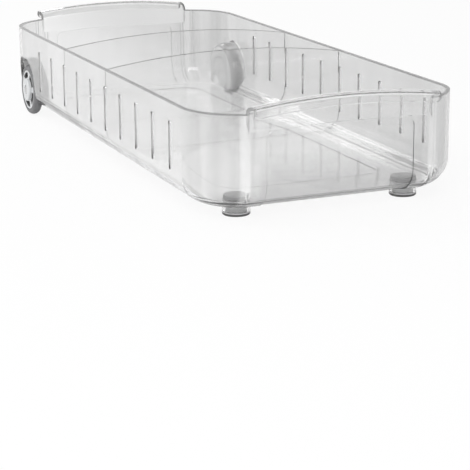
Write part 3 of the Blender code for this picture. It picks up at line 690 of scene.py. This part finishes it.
def add_foot_sockets(joins, cuts, middle):
    """Short sockets under the front corners, bored for the stems of the pads."""
    place = (HALF_WIDTH - FOOT_FROM_SIDE, FOOT_FROM_FRONT - HALF_LENGTH, 0)
    bore_radius = PAD_STEM_RADIUS + PAD_GAP
    disc_radius = bore_radius + SOCKET_WALL
    step = GROUND_CLEARANCE + WALL / 2
    points = [
        (0, SOCKET_TOP), (disc_radius - PAD_EDGE, SOCKET_TOP),
        (disc_radius, SOCKET_TOP - PAD_EDGE), (disc_radius, step), (FOOT_RADIUS, step),
        (FOOT_RADIUS, PAD_THICKNESS + PAD_GAP), (0, PAD_THICKNESS + PAD_GAP)]
    sockets = add_object("foot_sockets", profile_mesh("foot_sockets", points, closed=False),
                         joins, place)
    turn_profile(sockets, False, SMALL_TURN_STEPS)
    bore = cylinder_mesh("foot_bores", bore_radius, -CUT_OVERRUN, STEM_TOP + PAD_GAP)
    mirror(sockets, middle, "X")
    mirror(add_object("foot_bores", bore, cuts, place), middle, "X")


def face_finish(face, finish):
    """Finish of a face of the tray: the cuts and lips get painted shade that differs along each
    axis.
    """
    normal = face.normal
    if finish == "clear_lip" and abs(normal.x) > END_NORMAL and face.center.z > RIM_HEIGHT:
        return "clear_end_shade" if face.center.y > 0 else "clear_step_shade"
    if finish == "clear_cut_painted_shade" and normal.y > END_NORMAL:
        return "clear_tray"
    if finish == "clear_step_shade" and normal.x < -END_NORMAL:
        return "clear_line_shade"
    if finish == "clear_line_shade" and abs(normal.z) > END_NORMAL:
        return "clear_tray"
    return finish


def set_face_finishes(mesh, finishes):
    mesh.materials.append(finishes["clear_end_shade"])
    finish_of_name = {material.name: finish for finish, material in finishes.items()}
    slots = [finish_of_name[material.name] for material in mesh.materials]
    for face in mesh.polygons:
        face.material_index = slots.index(face_finish(face, slots[face.material_index]))


def make_tray(middle, finishes):
    """The clear moulding with its rounds fine enough to refract cleanly."""
    source = add_object("tray_source", open_tub("tray_source", 0, RIM_HEIGHT), helpers)
    source.data.materials.append(finishes["clear_tray"])
    fillet_bottom(source, BOTTOM_RADIUS)
    shell = source.modifiers.new("Wall", "SOLIDIFY")
    shell.thickness = WALL
    shell.offset = -1
    shell.use_even_offset = True
    round_edges(source, RIM_ROUND)
    joins = add_collection("tray_joins")
    cuts = add_collection("tray_cuts")
    add_wells(wall_envelope(), joins, cuts, middle)
    add_lips(joins, middle)
    add_foot_sockets(joins, cuts, middle)
    add_end_panels(cuts, middle, finishes["clear_tray"])
    add_floor_panel(cuts)
    add_slots(cuts)
    for shape in list(joins.objects) + list(cuts.objects):
        finish = FINISH_OF_SHAPE.get(shape.name, "clear_tray")
        shape.data.materials.append(finishes[finish])
    combine(source, joins, "UNION")
    combine(source, cuts, "DIFFERENCE")
    tray = baked("tray_moulding", source)
    set_face_finishes(tray.data, finishes)
    return tray


# Dividers, wheels and pads

def divider_outline():
    """A divider from the front, with its side tabs and arched top."""
    half = HALF_WIDTH - WALL - DIVIDER_SIDE_GAP
    bottom = FLOOR_TOP + DIVIDER_FLOOR_GAP
    radius = BOTTOM_RADIUS - WALL - DIVIDER_FLOOR_GAP
    tab_end = HALF_WIDTH - TAB_END_GAP
    tab_bottom = SLOT_BOTTOM + SLOT_WIDTH / 2
    tab_top = SLOT_TOP - SLOT_WIDTH / 2 - DIVIDER_LIFT
    side = arc((half - radius, bottom + radius), radius, -math.pi / 2, 0, ARC_STEPS)
    side += [(half, tab_bottom), (tab_end, tab_bottom), (tab_end, tab_top), (half, tab_top)]
    side += arc((half - DIVIDER_TOP_RADIUS, RIM_HEIGHT - DIVIDER_TOP_RADIUS),
                DIVIDER_TOP_RADIUS, 0, math.pi / 2, ARC_STEPS)
    last = side[-1][0]
    top = []
    for step in range(1, ARCH_STEPS):
        x = last * (1 - 2 * step / ARCH_STEPS)
        top.append((x, RIM_HEIGHT + DIVIDER_ARCH * (1 - (x / last) ** 2)))
    return side + top + [(-x, z) for x, z in reversed(side)]


def make_dividers(finishes):
    """Both plates, with painted shade on the top edge."""
    plates = []
    half = DIVIDER_THICKNESS / 2
    for name, slot in DIVIDER_SLOTS.items():
        mesh = prism_mesh(name, [divider_outline()], lambda x, z, y: (x, y, z), -half, half)
        for finish in ("clear_divider", "clear_edge_shade"):
            mesh.materials.append(finishes[finish])
        for face in mesh.polygons:
            face.material_index = int(face.normal.z > math.cos(math.pi / 4))
        source = add_object(name + "_source", mesh, helpers, (0, slot_y(slot), 0))
        round_edges(source, DIVIDER_ROUND)
        bpy.context.view_layer.update()
        plates.append(baked(name + "_plate", source))
    return plates


def wheel_profile():
    """Section of the wheel as (radius, height), the height outwards from its middle plane."""
    rim_inner = RIM_RADIUS - RIM_THICKNESS
    rim_half = RIM_WIDTH / 2
    lock_half = TYRE_LOCK_WIDTH / 2
    lock_radius = RIM_RADIUS + TYRE_LOCK_HEIGHT
    sink_radius = PIN_HEAD_RADIUS + PIN_GAP
    sink_floor = HUB_OUTER - PIN_SUNK - PIN_HEAD_THICKNESS - PIN_GAP
    return [
        (sink_radius, HUB_OUTER), (HUB_RADIUS - EDGE_ROUND, HUB_OUTER),
        (HUB_RADIUS, HUB_OUTER - EDGE_ROUND), (HUB_RADIUS, WEB_OUTER),
        (rim_inner, WEB_OUTER), (rim_inner, rim_half), (RIM_RADIUS, rim_half),
        (RIM_RADIUS, lock_half), (lock_radius, lock_half), (lock_radius, -lock_half),
        (RIM_RADIUS, -lock_half), (RIM_RADIUS, -rim_half), (rim_inner, -rim_half),
        (rim_inner, -WEB_INNER), (HUB_RADIUS, -WEB_INNER), (HUB_RADIUS, -HUB_INNER),
        (BORE_RADIUS, -HUB_INNER), (BORE_RADIUS, sink_floor), (sink_radius, sink_floor)]


def window_outlines():
    """The windows round the wheel's web."""
    inner = HUB_RADIUS + WINDOW_HUB_GAP
    outer = RIM_RADIUS - RIM_THICKNESS - WINDOW_RIM_GAP
    outlines = []
    for number in range(WINDOW_COUNT):
        centre = WINDOW_TURN + 2 * math.pi * number / WINDOW_COUNT
        start = centre - WINDOW_SPAN / 2
        end = centre + WINDOW_SPAN / 2
        outlines.append(arc((0, 0), outer, start, end, ARC_STEPS)
                        + arc((0, 0), inner, end, start, ARC_STEPS))
    return outlines


def tyre_profile():
    half = TYRE_WIDTH / 2
    inner = RIM_RADIUS + TYRE_GAP
    shoulder = inner + TYRE_SHOULDER
    groove = inner + TYRE_LOCK_HEIGHT
    groove_half = TYRE_LOCK_WIDTH / 2 + TYRE_GAP
    points = [(inner, half)]
    for step in range(2 * ARC_STEPS + 1):
        turn = math.pi / 2 - math.pi * step / (2 * ARC_STEPS)
        points.append((shoulder + (TYRE_RADIUS - shoulder) * math.cos(turn),
                       half * math.sin(turn)))
    points += [(inner, -half), (inner, -groove_half), (groove, -groove_half),
               (groove, groove_half), (inner, groove_half)]
    return points


def pin_profile():
    face = HUB_OUTER - PIN_SUNK
    under = face - PIN_HEAD_THICKNESS
    end = BOSS_TOP_X - PIN_GRIP - WHEEL_X
    return [
        (0, face), (PIN_HEAD_RADIUS - EDGE_ROUND, face),
        (PIN_HEAD_RADIUS, face - EDGE_ROUND), (PIN_HEAD_RADIUS, under),
        (PIN_RADIUS, under), (PIN_RADIUS, end + EDGE_ROUND),
        (PIN_RADIUS - EDGE_ROUND, end), (0, end)]


def make_turned(name, points, closed, place, rotation, finish, cutter=None):
    """A turned piece, shaded smooth, in its own finish."""
    source = add_object(name + "_source", profile_mesh(name, points, closed), helpers,
                        place, rotation)
    source.data.materials.append(finish)
    turn_profile(source, closed)
    if cutter:
        combine(source, cutter, "DIFFERENCE")
    bpy.context.view_layer.update()
    return baked(name, source)


def make_wheels(finishes):
    made = {}
    for side, way in (("left", -1), ("right", 1)):
        centre = (way * WHEEL_X, AXLE_Y, AXLE_HEIGHT)
        turned = (0, way * math.pi / 2, 0)
        windows = add_object(f"windows_{side}", prism_mesh(
            "windows", window_outlines(), lambda x, y, z: (x, y, z), -CUT_OVERRUN, CUT_OVERRUN),
            helpers, centre, turned)
        # The windows' faces get dark painted shade
        windows.data.materials.append(finishes["wheel_window_shade"])
        made[f"wheel_{side}"] = make_turned(f"wheel_{side}_moulding", wheel_profile(), True,
                                            centre, turned, finishes["wheel_plastic"], windows)
        made[f"tyre_{side}"] = make_turned(f"tyre_{side}_rubber", tyre_profile(), True,
                                           centre, turned, finishes["tyre_rubber"])
        made[f"axle_pin_{side}"] = make_turned(f"axle_pin_{side}_steel", pin_profile(), False,
                                               centre, turned, finishes["pin_steel"])
    return made


def make_pads(finishes):
    points = [
        (0, STEM_TOP), (PAD_STEM_RADIUS - PAD_EDGE, STEM_TOP),
        (PAD_STEM_RADIUS, STEM_TOP - PAD_EDGE),
        (PAD_STEM_RADIUS, PAD_THICKNESS), (FOOT_RADIUS, PAD_THICKNESS),
        (FOOT_RADIUS, PAD_EDGE), (FOOT_RADIUS - PAD_EDGE, 0), (0, 0)]
    made = {}
    for side, way in (("left", -1), ("right", 1)):
        place = (way * (HALF_WIDTH - FOOT_FROM_SIDE), FOOT_FROM_FRONT - HALF_LENGTH, 0)
        made[f"foot_pad_{side}"] = make_turned(f"foot_pad_{side}_rubber", points, False,
                                               place, (0, 0, 0), finishes["pad_rubber"])
    return made


# Materials

def new_material(name):
    material = bpy.data.materials.new(name)
    material.use_nodes = True
    tree = material.node_tree
    return material, tree, tree.nodes["Principled BSDF"], tree.nodes["Material Output"]


def noise(tree, scale, detail, rough=0.5, stretch=(1, 1, 1)):
    """Noise in the object's own coordinates."""
    place = tree.nodes.new("ShaderNodeTexCoord")
    sized = tree.nodes.new("ShaderNodeMapping")
    sized.inputs["Scale"].default_value = stretch
    grain = tree.nodes.new("ShaderNodeTexNoise")
    grain.inputs["Scale"].default_value = scale
    grain.inputs["Detail"].default_value = detail
    grain.inputs["Roughness"].default_value = rough
    tree.links.new(place.outputs["Object"], sized.inputs["Vector"])
    tree.links.new(sized.outputs["Vector"], grain.inputs["Vector"])
    return grain.outputs["Fac"]


def spread(tree, fac, low, high):
    """Map a noise to a range of values."""
    ramp = tree.nodes.new("ShaderNodeMapRange")
    ramp.inputs["From Min"].default_value = NOISE_LOW
    ramp.inputs["From Max"].default_value = NOISE_HIGH
    ramp.inputs["To Min"].default_value = low
    ramp.inputs["To Max"].default_value = high
    tree.links.new(fac, ramp.inputs["Value"])
    return ramp.outputs["Result"]


def two_tone(tree, fac, dark, light):
    """Map a noise to the colours between two."""
    ramp = tree.nodes.new("ShaderNodeValToRGB")
    first, last = ramp.color_ramp.elements
    first.position, first.color = NOISE_LOW, (*dark, 1)
    last.position, last.color = NOISE_HIGH, (*light, 1)
    tree.links.new(fac, ramp.inputs["Fac"])
    return ramp.outputs["Color"]


def bumped(tree, shader, height, distance):
    bump = tree.nodes.new("ShaderNodeBump")
    bump.inputs["Distance"].default_value = distance
    tree.links.new(height, bump.inputs["Height"])
    tree.links.new(bump.outputs["Normal"], shader.inputs["Normal"])


def split_place(tree):
    """X, Y and Z of a point in the piece's own frame."""
    place = tree.nodes.new("ShaderNodeTexCoord")
    split = tree.nodes.new("ShaderNodeSeparateXYZ")
    tree.links.new(place.outputs["Object"], split.inputs["Vector"])
    return split.outputs["X"], split.outputs["Y"], split.outputs["Z"]


def worked(tree, operation, *values):
    """One step of arithmetic on node values or plain numbers."""
    step = tree.nodes.new("ShaderNodeMath")
    step.operation = operation
    for socket, value in zip(step.inputs, values):
        if isinstance(value, bpy.types.NodeSocket):
            tree.links.new(value, socket)
        else:
            socket.default_value = value
    return step.outputs["Value"]


def fade(tree, value, start, end):
    """0 up to the start, 1 from the end on, and smooth between them."""
    ramp = tree.nodes.new("ShaderNodeMapRange")
    ramp.interpolation_type = "SMOOTHSTEP"
    ramp.inputs["From Min"].default_value = start
    ramp.inputs["From Max"].default_value = end
    tree.links.new(value, ramp.inputs["Value"])
    return ramp.outputs["Result"]


def toward(tree, share, plain, changed):
    """A value that goes from plain to changed with the share."""
    return worked(tree, "ADD", plain,
                  worked(tree, "MULTIPLY", share, worked(tree, "SUBTRACT", changed, plain)))


def band(tree, value, low, high, soft):
    """1 between two values and 0 outside them."""
    return worked(tree, "MULTIPLY", fade(tree, value, low - soft, low),
                  fade(tree, value, high + soft, high))


def past_flat(tree, x, y):
    """How far a point is outside the middles of the tray's corners, seen from above."""
    aside = worked(tree, "MAXIMUM", worked(tree, "SUBTRACT", worked(tree, "ABSOLUTE", x),
                                           CORNER_MIDDLE_X), 0.0)
    along = worked(tree, "MAXIMUM", worked(tree, "SUBTRACT", worked(tree, "ABSOLUTE", y),
                                           CORNER_MIDDLE_Y), 0.0)
    return worked(tree, "SQRT", worked(tree, "ADD", worked(tree, "MULTIPLY", aside, aside),
                                       worked(tree, "MULTIPLY", along, along)))


def any_band(tree, value, bands, soft):
    """1 in any of several bands."""
    share = 0.0
    for low, high in bands:
        share = worked(tree, "MAXIMUM", share, band(tree, value, low, high, soft))
    return share


def painted_crease_shares(tree, x, y, at_end):
    """1 on the upright creases at the four ends of the end walls, where a highlight is painted,
    and on the dark painted lines by them.
    """
    away = worked(tree, "ABSOLUTE", worked(tree, "SUBTRACT", worked(tree, "ABSOLUTE", x),
                                           CREASE_X))
    near = fade(tree, away, CREASE_BAND + CREASE_BAND_SOFT, CREASE_BAND)
    lines = any_band(tree, away, CREASE_SHADE_LINES, CREASE_LINE_SOFT)
    behind = fade(tree, y, -BOTTOM_RADIUS, BOTTOM_RADIUS)
    return (worked(tree, "MULTIPLY", near, at_end),
            worked(tree, "MULTIPLY", lines, worked(tree, "MULTIPLY", at_end, behind)))


def corner_share(tree, x, y):
    """0 along the straight walls and up to 1 round the upright corners."""
    aside = fade(tree, worked(tree, "ABSOLUTE", x), CORNER_MIDDLE_X, HALF_WIDTH)
    along = fade(tree, worked(tree, "ABSOLUTE", y), CORNER_MIDDLE_Y, HALF_LENGTH)
    both = worked(tree, "SQRT", worked(tree, "MULTIPLY", aside, along))
    return worked(tree, "MINIMUM", worked(tree, "MULTIPLY", both, 2.0), 1.0)


def wall_tones(tree, place, shade, corner, at_end):
    """Painted shade: greyer end walls, most so low at the front, and grey corners with painted
    upright streaks of light and shade.
    """
    _, y, z = place
    upright = fade(tree, z, FLOOR_TOP, GROUND_CLEARANCE + BOTTOM_RADIUS)
    at_front = fade(tree, y, BOTTOM_RADIUS, -BOTTOM_RADIUS)
    low = worked(tree, "MULTIPLY", fade(tree, z, END_SHADE_TOP, END_SHADE_FOOT), at_front)
    shade = toward(tree, at_end, shade, toward(tree, low, END_SHADE_TONE, END_LOW_SHADE_TONE))
    shade = toward(tree, worked(tree, "MULTIPLY", corner, upright), shade, CORNER_SHADE_TONE)
    streaks = spread(tree, noise(tree, *PAINTED_WALL_STREAKS), -1.0, 1.0)
    depth = toward(tree, corner, PAINTED_STREAK_DEPTH, CORNER_PAINTED_STREAK_DEPTH)
    streaks = worked(tree, "MULTIPLY", worked(tree, "MULTIPLY", streaks, upright), depth)
    return worked(tree, "ADD", shade, streaks)


def painted_low_edge_shade(tree, place, corner, at_end):
    """Painted shade: dark lines round the bottom fillet, outside the floor's flat and in front of
    the rear wall.
    """
    x, y, z = place
    strength = toward(tree, corner, toward(tree, at_end, EDGE_SIDE_SHARE, EDGE_END_SHARE), 1.0)
    begin = CORNER_RADIUS - BOTTOM_RADIUS + EDGE_START
    outside = fade(tree, past_flat(tree, x, y), begin, begin + EDGE_START_SOFT)
    outside = worked(tree, "MULTIPLY", outside, fade(
        tree, y, HALF_LENGTH - EDGE_REAR_END / 2, HALF_LENGTH - EDGE_REAR_END))
    return worked(tree, "MULTIPLY", any_band(tree, z, EDGE_SHADE_LINES, EDGE_LINE_SOFT),
                  worked(tree, "MULTIPLY", outside, strength))


def tray_zones(tree, place, shade, clear, gloss):
    """Painted shade on the ends, corners and rim and in lines along the low edge, and painted
    highlights on the creases.
    """
    x, y, z = place
    corner = corner_share(tree, x, y)
    at_end = fade(tree, worked(tree, "ABSOLUTE", y), HALF_LENGTH - BOTTOM_RADIUS,
                  HALF_LENGTH - BOTTOM_RADIUS + CREASE_BAND_SOFT)
    flat = fade(tree, z, FLOOR_TOP + EDGE_LINE_SOFT, FLOOR_TOP)
    shade = toward(tree, flat, wall_tones(tree, place, shade, corner, at_end), FLAT_LIGHT_TONE)
    crease, crease_shade_lines = painted_crease_shares(tree, x, y, at_end)
    lines = painted_low_edge_shade(tree, place, corner, at_end)
    rim = fade(tree, z, RIM_HEIGHT - RIM_BAND, RIM_HEIGHT - RIM_BAND + RIM_BAND_SOFT)
    for share, tone, clearness in ((crease, CREASE_HIGHLIGHT_TONE, CREASE_PAINTED_CLEARNESS),
                                   (crease_shade_lines, CREASE_LINE_SHADE_TONE, CREASE_PAINTED_CLEARNESS),
                                   (lines, EDGE_SHADE_TONE, EDGE_SHADE_CLEARNESS),
                                   (rim, RIM_SHADE_TONE, RIM_SHADE_CLEARNESS)):
        shade = toward(tree, share, shade, tone)
        clear = toward(tree, share, clear, clearness)
    return shade, clear, toward(tree, flat, gloss, FLOOR_ROUGHNESS)


def well_shade_zones(tree, place, shade, clear, gloss):
    """Painted shade: greyer rings where the well's round wall meets its floor and round the boss.
    """
    along = worked(tree, "SUBTRACT", place[1], AXLE_Y)
    above = worked(tree, "SUBTRACT", place[2], AXLE_HEIGHT)
    reach = worked(tree, "SQRT", worked(tree, "ADD", worked(tree, "MULTIPLY", along, along),
                                        worked(tree, "MULTIPLY", above, above)))
    ring = any_band(tree, reach, WELL_SHADE_RINGS, EDGE_LINE_SOFT)
    return toward(tree, ring, shade, WELL_RING_SHADE_TONE), clear, gloss


def slot_zones(tree, place, shade, clear, gloss):
    """Dark ends where a slot's round top and bottom catch no light."""
    z = place[2]
    end = worked(tree, "MAXIMUM", fade(tree, z, SLOT_TOP - SLOT_END_BAND, SLOT_TOP),
                 fade(tree, z, SLOT_BOTTOM + SLOT_END_BAND, SLOT_BOTTOM))
    return toward(tree, end, shade, SLOT_END_TONE), clear, gloss


def lip_zones(tree, place, shade, clear, gloss):
    """Darker ends of the lips, where the curl's section catches no light."""
    end = fade(tree, worked(tree, "ABSOLUTE", place[0]), LIP_HALF - LIP_END_BAND,
               LIP_HALF - LIP_END_BAND + LIP_END_SOFT)
    above = fade(tree, place[2], RIM_HEIGHT - LIP_END_SOFT, RIM_HEIGHT)
    at_rear = fade(tree, place[1], -LIP_END_SOFT, LIP_END_SOFT)
    end_tone = toward(tree, at_rear, FRONT_LIP_END_TONE, REAR_LIP_END_TONE)
    tone = toward(tree, above, LIP_ROOT_TONE, end_tone)
    return toward(tree, end, shade, tone), clear, gloss


def socket_zones(tree, place, shade, clear, gloss):
    """Painted shade: a dull grey disc above the floor, where the pad's stem shows through."""
    above = fade(tree, place[2], FLOOR_TOP, FLOOR_TOP + SOCKET_BAND)
    return (toward(tree, above, shade, SOCKET_SHADE_TONE), toward(tree, above, clear, SOCKET_SHADE_CLEARNESS),
            gloss)


def clear_plastic(name, tone, clearness, rough, ior, zones=None):
    """Clear moulding: polished faces, faint flow waves and hair scratches."""
    material, tree, shader, _ = new_material(name)
    shader.inputs["IOR"].default_value = ior
    haze = noise(tree, *FLOW_HAZE)
    shade = spread(tree, haze, tone * HAZE_SHARE, tone)
    clear = spread(tree, haze, clearness, clearness * HAZE_SHARE)
    gloss = spread(tree, noise(tree, *HAIR_SCRATCHES), *rough)
    if zones:
        shade, clear, gloss = zones(tree, split_place(tree), shade, clear, gloss)
    color = tree.nodes.new("ShaderNodeCombineColor")
    for channel in ("Red", "Green", "Blue"):
        tree.links.new(shade, color.inputs[channel])
    tree.links.new(color.outputs["Color"], shader.inputs["Base Color"])
    tree.links.new(clear, shader.inputs["Transmission Weight"])
    tree.links.new(gloss, shader.inputs["Roughness"])
    bumped(tree, shader, noise(tree, *FLOW_WAVES), FLOW_DEPTH)
    return material


def moulded(name, dark, light, rough, foot_shade=None):
    """Opaque moulding or rubber with a fine grain and uneven gloss, darker near the ground with
    painted shade.
    """
    material, tree, shader, _ = new_material(name)
    color = two_tone(tree, noise(tree, *MOULD_MOTTLE), dark, light)
    if foot_shade:
        mix = tree.nodes.new("ShaderNodeMix")
        mix.data_type = "RGBA"
        mix.inputs["B"].default_value = (*foot_shade, 1)
        ground = fade(tree, split_place(tree)[2], PAD_SHADE_TOP + PAD_SHADE_SOFT, PAD_SHADE_TOP)
        tree.links.new(ground, mix.inputs["Factor"])
        tree.links.new(color, mix.inputs["A"])
        color = mix.outputs["Result"]
    tree.links.new(color, shader.inputs["Base Color"])
    tree.links.new(spread(tree, noise(tree, *MOULD_GLOSS), *rough), shader.inputs["Roughness"])
    bumped(tree, shader, noise(tree, *MOULD_GRAIN), MOULD_GRAIN_DEPTH)
    return material


def steel(name, dark, light, rough):
    """Plain metal with faint blotches and uneven gloss."""
    material, tree, shader, _ = new_material(name)
    shader.inputs["Metallic"].default_value = 1.0
    tree.links.new(two_tone(tree, noise(tree, *STEEL_MOTTLE), dark, light),
                   shader.inputs["Base Color"])
    tree.links.new(spread(tree, noise(tree, *STEEL_GLOSS), *rough), shader.inputs["Roughness"])
    return material


# Studio

def make_stage():
    """Pale floor that looks white to the camera, white through the plastic but for a painted
    shadow on its +x side, and takes a shadow.
    """
    shape = bmesh.new()
    bmesh.ops.create_grid(shape, x_segments=1, y_segments=1, size=FLOOR_HALF_SIZE)
    floor = add_object("studio_floor", finish_mesh("studio_floor", shape),
                       bpy.context.scene.collection)
    material, tree, shader, output = new_material("studio_floor")
    shader.inputs["Base Color"].default_value = (*FLOOR_COLOR, 1)
    shader.inputs["Roughness"].default_value = FLOOR_DULLNESS
    shader.inputs["Specular IOR Level"].default_value = 0.0
    glow = tree.nodes.new("ShaderNodeEmission")
    path = tree.nodes.new("ShaderNodeLightPath")
    plain = worked(tree, "MAXIMUM", path.outputs["Is Camera Ray"], worked(
        tree, "MAXIMUM", path.outputs["Is Glossy Ray"], path.outputs["Is Transmission Ray"]))
    away = fade(tree, split_place(tree)[0], FLOOR_SHADE_START, FLOOR_SHADE_END)
    tree.links.new(toward(tree, path.outputs["Is Transmission Ray"], 1.0, toward(
        tree, away, FLOOR_THROUGH_GLOW, FLOOR_PAINTED_SHADOW_GLOW)), glow.inputs["Strength"])
    mix = tree.nodes.new("ShaderNodeMixShader")
    tree.links.new(worked(tree, "MULTIPLY", plain, FLOOR_WHITE_SHARE), mix.inputs["Fac"])
    tree.links.new(shader.outputs["BSDF"], mix.inputs[1])
    tree.links.new(glow.outputs["Emission"], mix.inputs[2])
    tree.links.new(mix.outputs["Shader"], output.inputs["Surface"])
    floor.data.materials.append(material)


def make_world():
    """Grey studio with bright floor and ceiling, and plain white behind the object."""
    world = bpy.data.worlds.new("studio")
    bpy.context.scene.world = world
    world.use_nodes = True
    tree = world.node_tree
    plain = tree.nodes["Background"]
    place = tree.nodes.new("ShaderNodeTexCoord")
    split = tree.nodes.new("ShaderNodeSeparateXYZ")
    ramp = tree.nodes.new("ShaderNodeValToRGB")
    stops = ramp.color_ramp.elements
    first, *between, last = STUDIO_TONES
    stops[0].color = (first[1],) * 3 + (1,)
    stops[1].color = (last[1],) * 3 + (1,)
    for position, tone in between:
        stops.new(position).color = (tone, tone, tone, 1)
    tree.links.new(place.outputs["Generated"], split.inputs["Vector"])
    tree.links.new(split.outputs["Z"], ramp.inputs["Fac"])
    tree.links.new(ramp.outputs["Color"], plain.inputs["Color"])
    white = tree.nodes.new("ShaderNodeBackground")
    white.inputs["Color"].default_value = (1, 1, 1, 1)
    path = tree.nodes.new("ShaderNodeLightPath")
    mix = tree.nodes.new("ShaderNodeMixShader")
    tree.links.new(path.outputs["Is Camera Ray"], mix.inputs["Fac"])
    tree.links.new(plain.outputs["Background"], mix.inputs[1])
    tree.links.new(white.outputs["Background"], mix.inputs[2])
    tree.links.new(mix.outputs["Shader"], tree.nodes["World Output"].inputs["Surface"])


def add_lamp(name, place, size, power):
    lamp = bpy.data.lights.new(name, "AREA")
    lamp.shape = "RECTANGLE"
    lamp.size, lamp.size_y = size
    lamp.energy = power
    item = bpy.data.objects.new(name, lamp)
    item.location = place
    item.rotation_euler = (Vector(LAMP_AIM) - Vector(place)).to_track_quat("-Z", "Y").to_euler()
    bpy.context.scene.collection.objects.link(item)


def make_camera():
    ahead = Vector((math.sin(CAMERA_YAW) * math.cos(CAMERA_PITCH),
                    math.cos(CAMERA_YAW) * math.cos(CAMERA_PITCH), -math.sin(CAMERA_PITCH)))
    right = Vector((math.cos(CAMERA_YAW), -math.sin(CAMERA_YAW), 0))
    up = right.cross(ahead)
    side = math.cos(CAMERA_ROLL) * right + math.sin(CAMERA_ROLL) * up
    top = math.cos(CAMERA_ROLL) * up - math.sin(CAMERA_ROLL) * right
    data = bpy.data.cameras.new("camera")
    data.lens = CAMERA_LENS
    data.sensor_width = CAMERA_SENSOR
    data.clip_start = CAMERA_NEAR
    data.clip_end = CAMERA_FAR
    camera = bpy.data.objects.new("camera", data)
    turn = Matrix((side, top, -ahead)).transposed()
    camera.matrix_world = Matrix.Translation(CAMERA_PLACE) @ turn.to_4x4()
    bpy.context.scene.collection.objects.link(camera)
    bpy.context.scene.camera = camera


# Assembly

# Clear finishes: tone, clearness, lowest and highest roughness, index of refraction, zones.
# The others: dark and light colour, lowest and highest roughness.
finishes = {
    "clear_tray": clear_plastic("clear_tray", 0.93, 0.97, (0.015, 0.06), 1.47, tray_zones),
    "clear_lip": clear_plastic("clear_lip", 0.96, 0.94, (0.015, 0.06), 1.21, lip_zones),
    "clear_well": clear_plastic("clear_well", 0.99, 0.45, (0.02, 0.06), 1.47, well_shade_zones),
    # Painted shade on the end panels' steps and the front lip ends
    "clear_step_shade": clear_plastic("clear_step_shade", 0.45, 0.35, (0.05, 0.15), 1.40),
    "clear_socket": clear_plastic("clear_socket", 0.90, 0.95, (0.02, 0.06), 1.47, socket_zones),
    # The slots' cut faces: rough, and grey with painted shade, except those facing the rear
    "clear_cut_painted_shade": clear_plastic("clear_cut_painted_shade", 0.70, 0.50, (0.15, 0.30), 1.40, slot_zones),
    "clear_divider": clear_plastic("clear_divider", 0.98, 0.98, (0.015, 0.06), 1.45),
    # Painted shade on the dividers' top edges and on the rear lip ends
    "clear_edge_shade": clear_plastic("clear_edge_shade", 0.18, 0.40, (0.2, 0.4), 1.40),
    "clear_end_shade": clear_plastic("clear_end_shade", 0.08, 0.20, (0.2, 0.4), 1.40),
    # Painted shade along the edges of the panels
    "clear_line_shade": clear_plastic("clear_line_shade", 0.10, 0.30, (0.2, 0.4), 1.40),
    "wheel_plastic": moulded("wheel_plastic", (0.60, 0.61, 0.62), (0.70, 0.71, 0.72),
                             (0.3, 0.45)),
    # Painted shade in the wheels' windows
    "wheel_window_shade": moulded("wheel_window_shade", (0.10, 0.10, 0.10), (0.18, 0.18, 0.18), (0.4, 0.6)),
    "tyre_rubber": moulded("tyre_rubber", (0.15, 0.15, 0.155), (0.22, 0.22, 0.225), (0.5, 0.7)),
    # Pad rubber, darker at its foot with painted shade
    "pad_rubber": moulded("pad_rubber", (0.68, 0.68, 0.685), (0.78, 0.78, 0.79), (0.5, 0.7),
                          foot_shade=(0.12, 0.12, 0.12)),
    "pin_steel": steel("pin_steel", (0.5, 0.5, 0.5), (0.66, 0.66, 0.66), (0.25, 0.42)),
}

middle = add_object("tray_middle", None, helpers)
pieces = {"tray": make_tray(middle, finishes)}
pieces["divider_rear"], pieces["divider_front"] = make_dividers(finishes)
pieces.update(make_wheels(finishes))
pieces.update(make_pads(finishes))

body_of_node = {node: body for body, nodes in frame["record"]["behaviour"]["bodies"].items()
                for node in nodes}
for node, piece in pieces.items():
    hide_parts(node)
    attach(piece, body_of_node[node])

for helper in list(helpers.all_objects):
    bpy.data.objects.remove(helper)

make_stage()
make_world()
for name, (place, size, power) in LAMPS.items():
    add_lamp(name, place, size, power)
make_camera()
bpy.context.scene.view_settings.view_transform = "Standard"

bpy.context.view_layer.update()
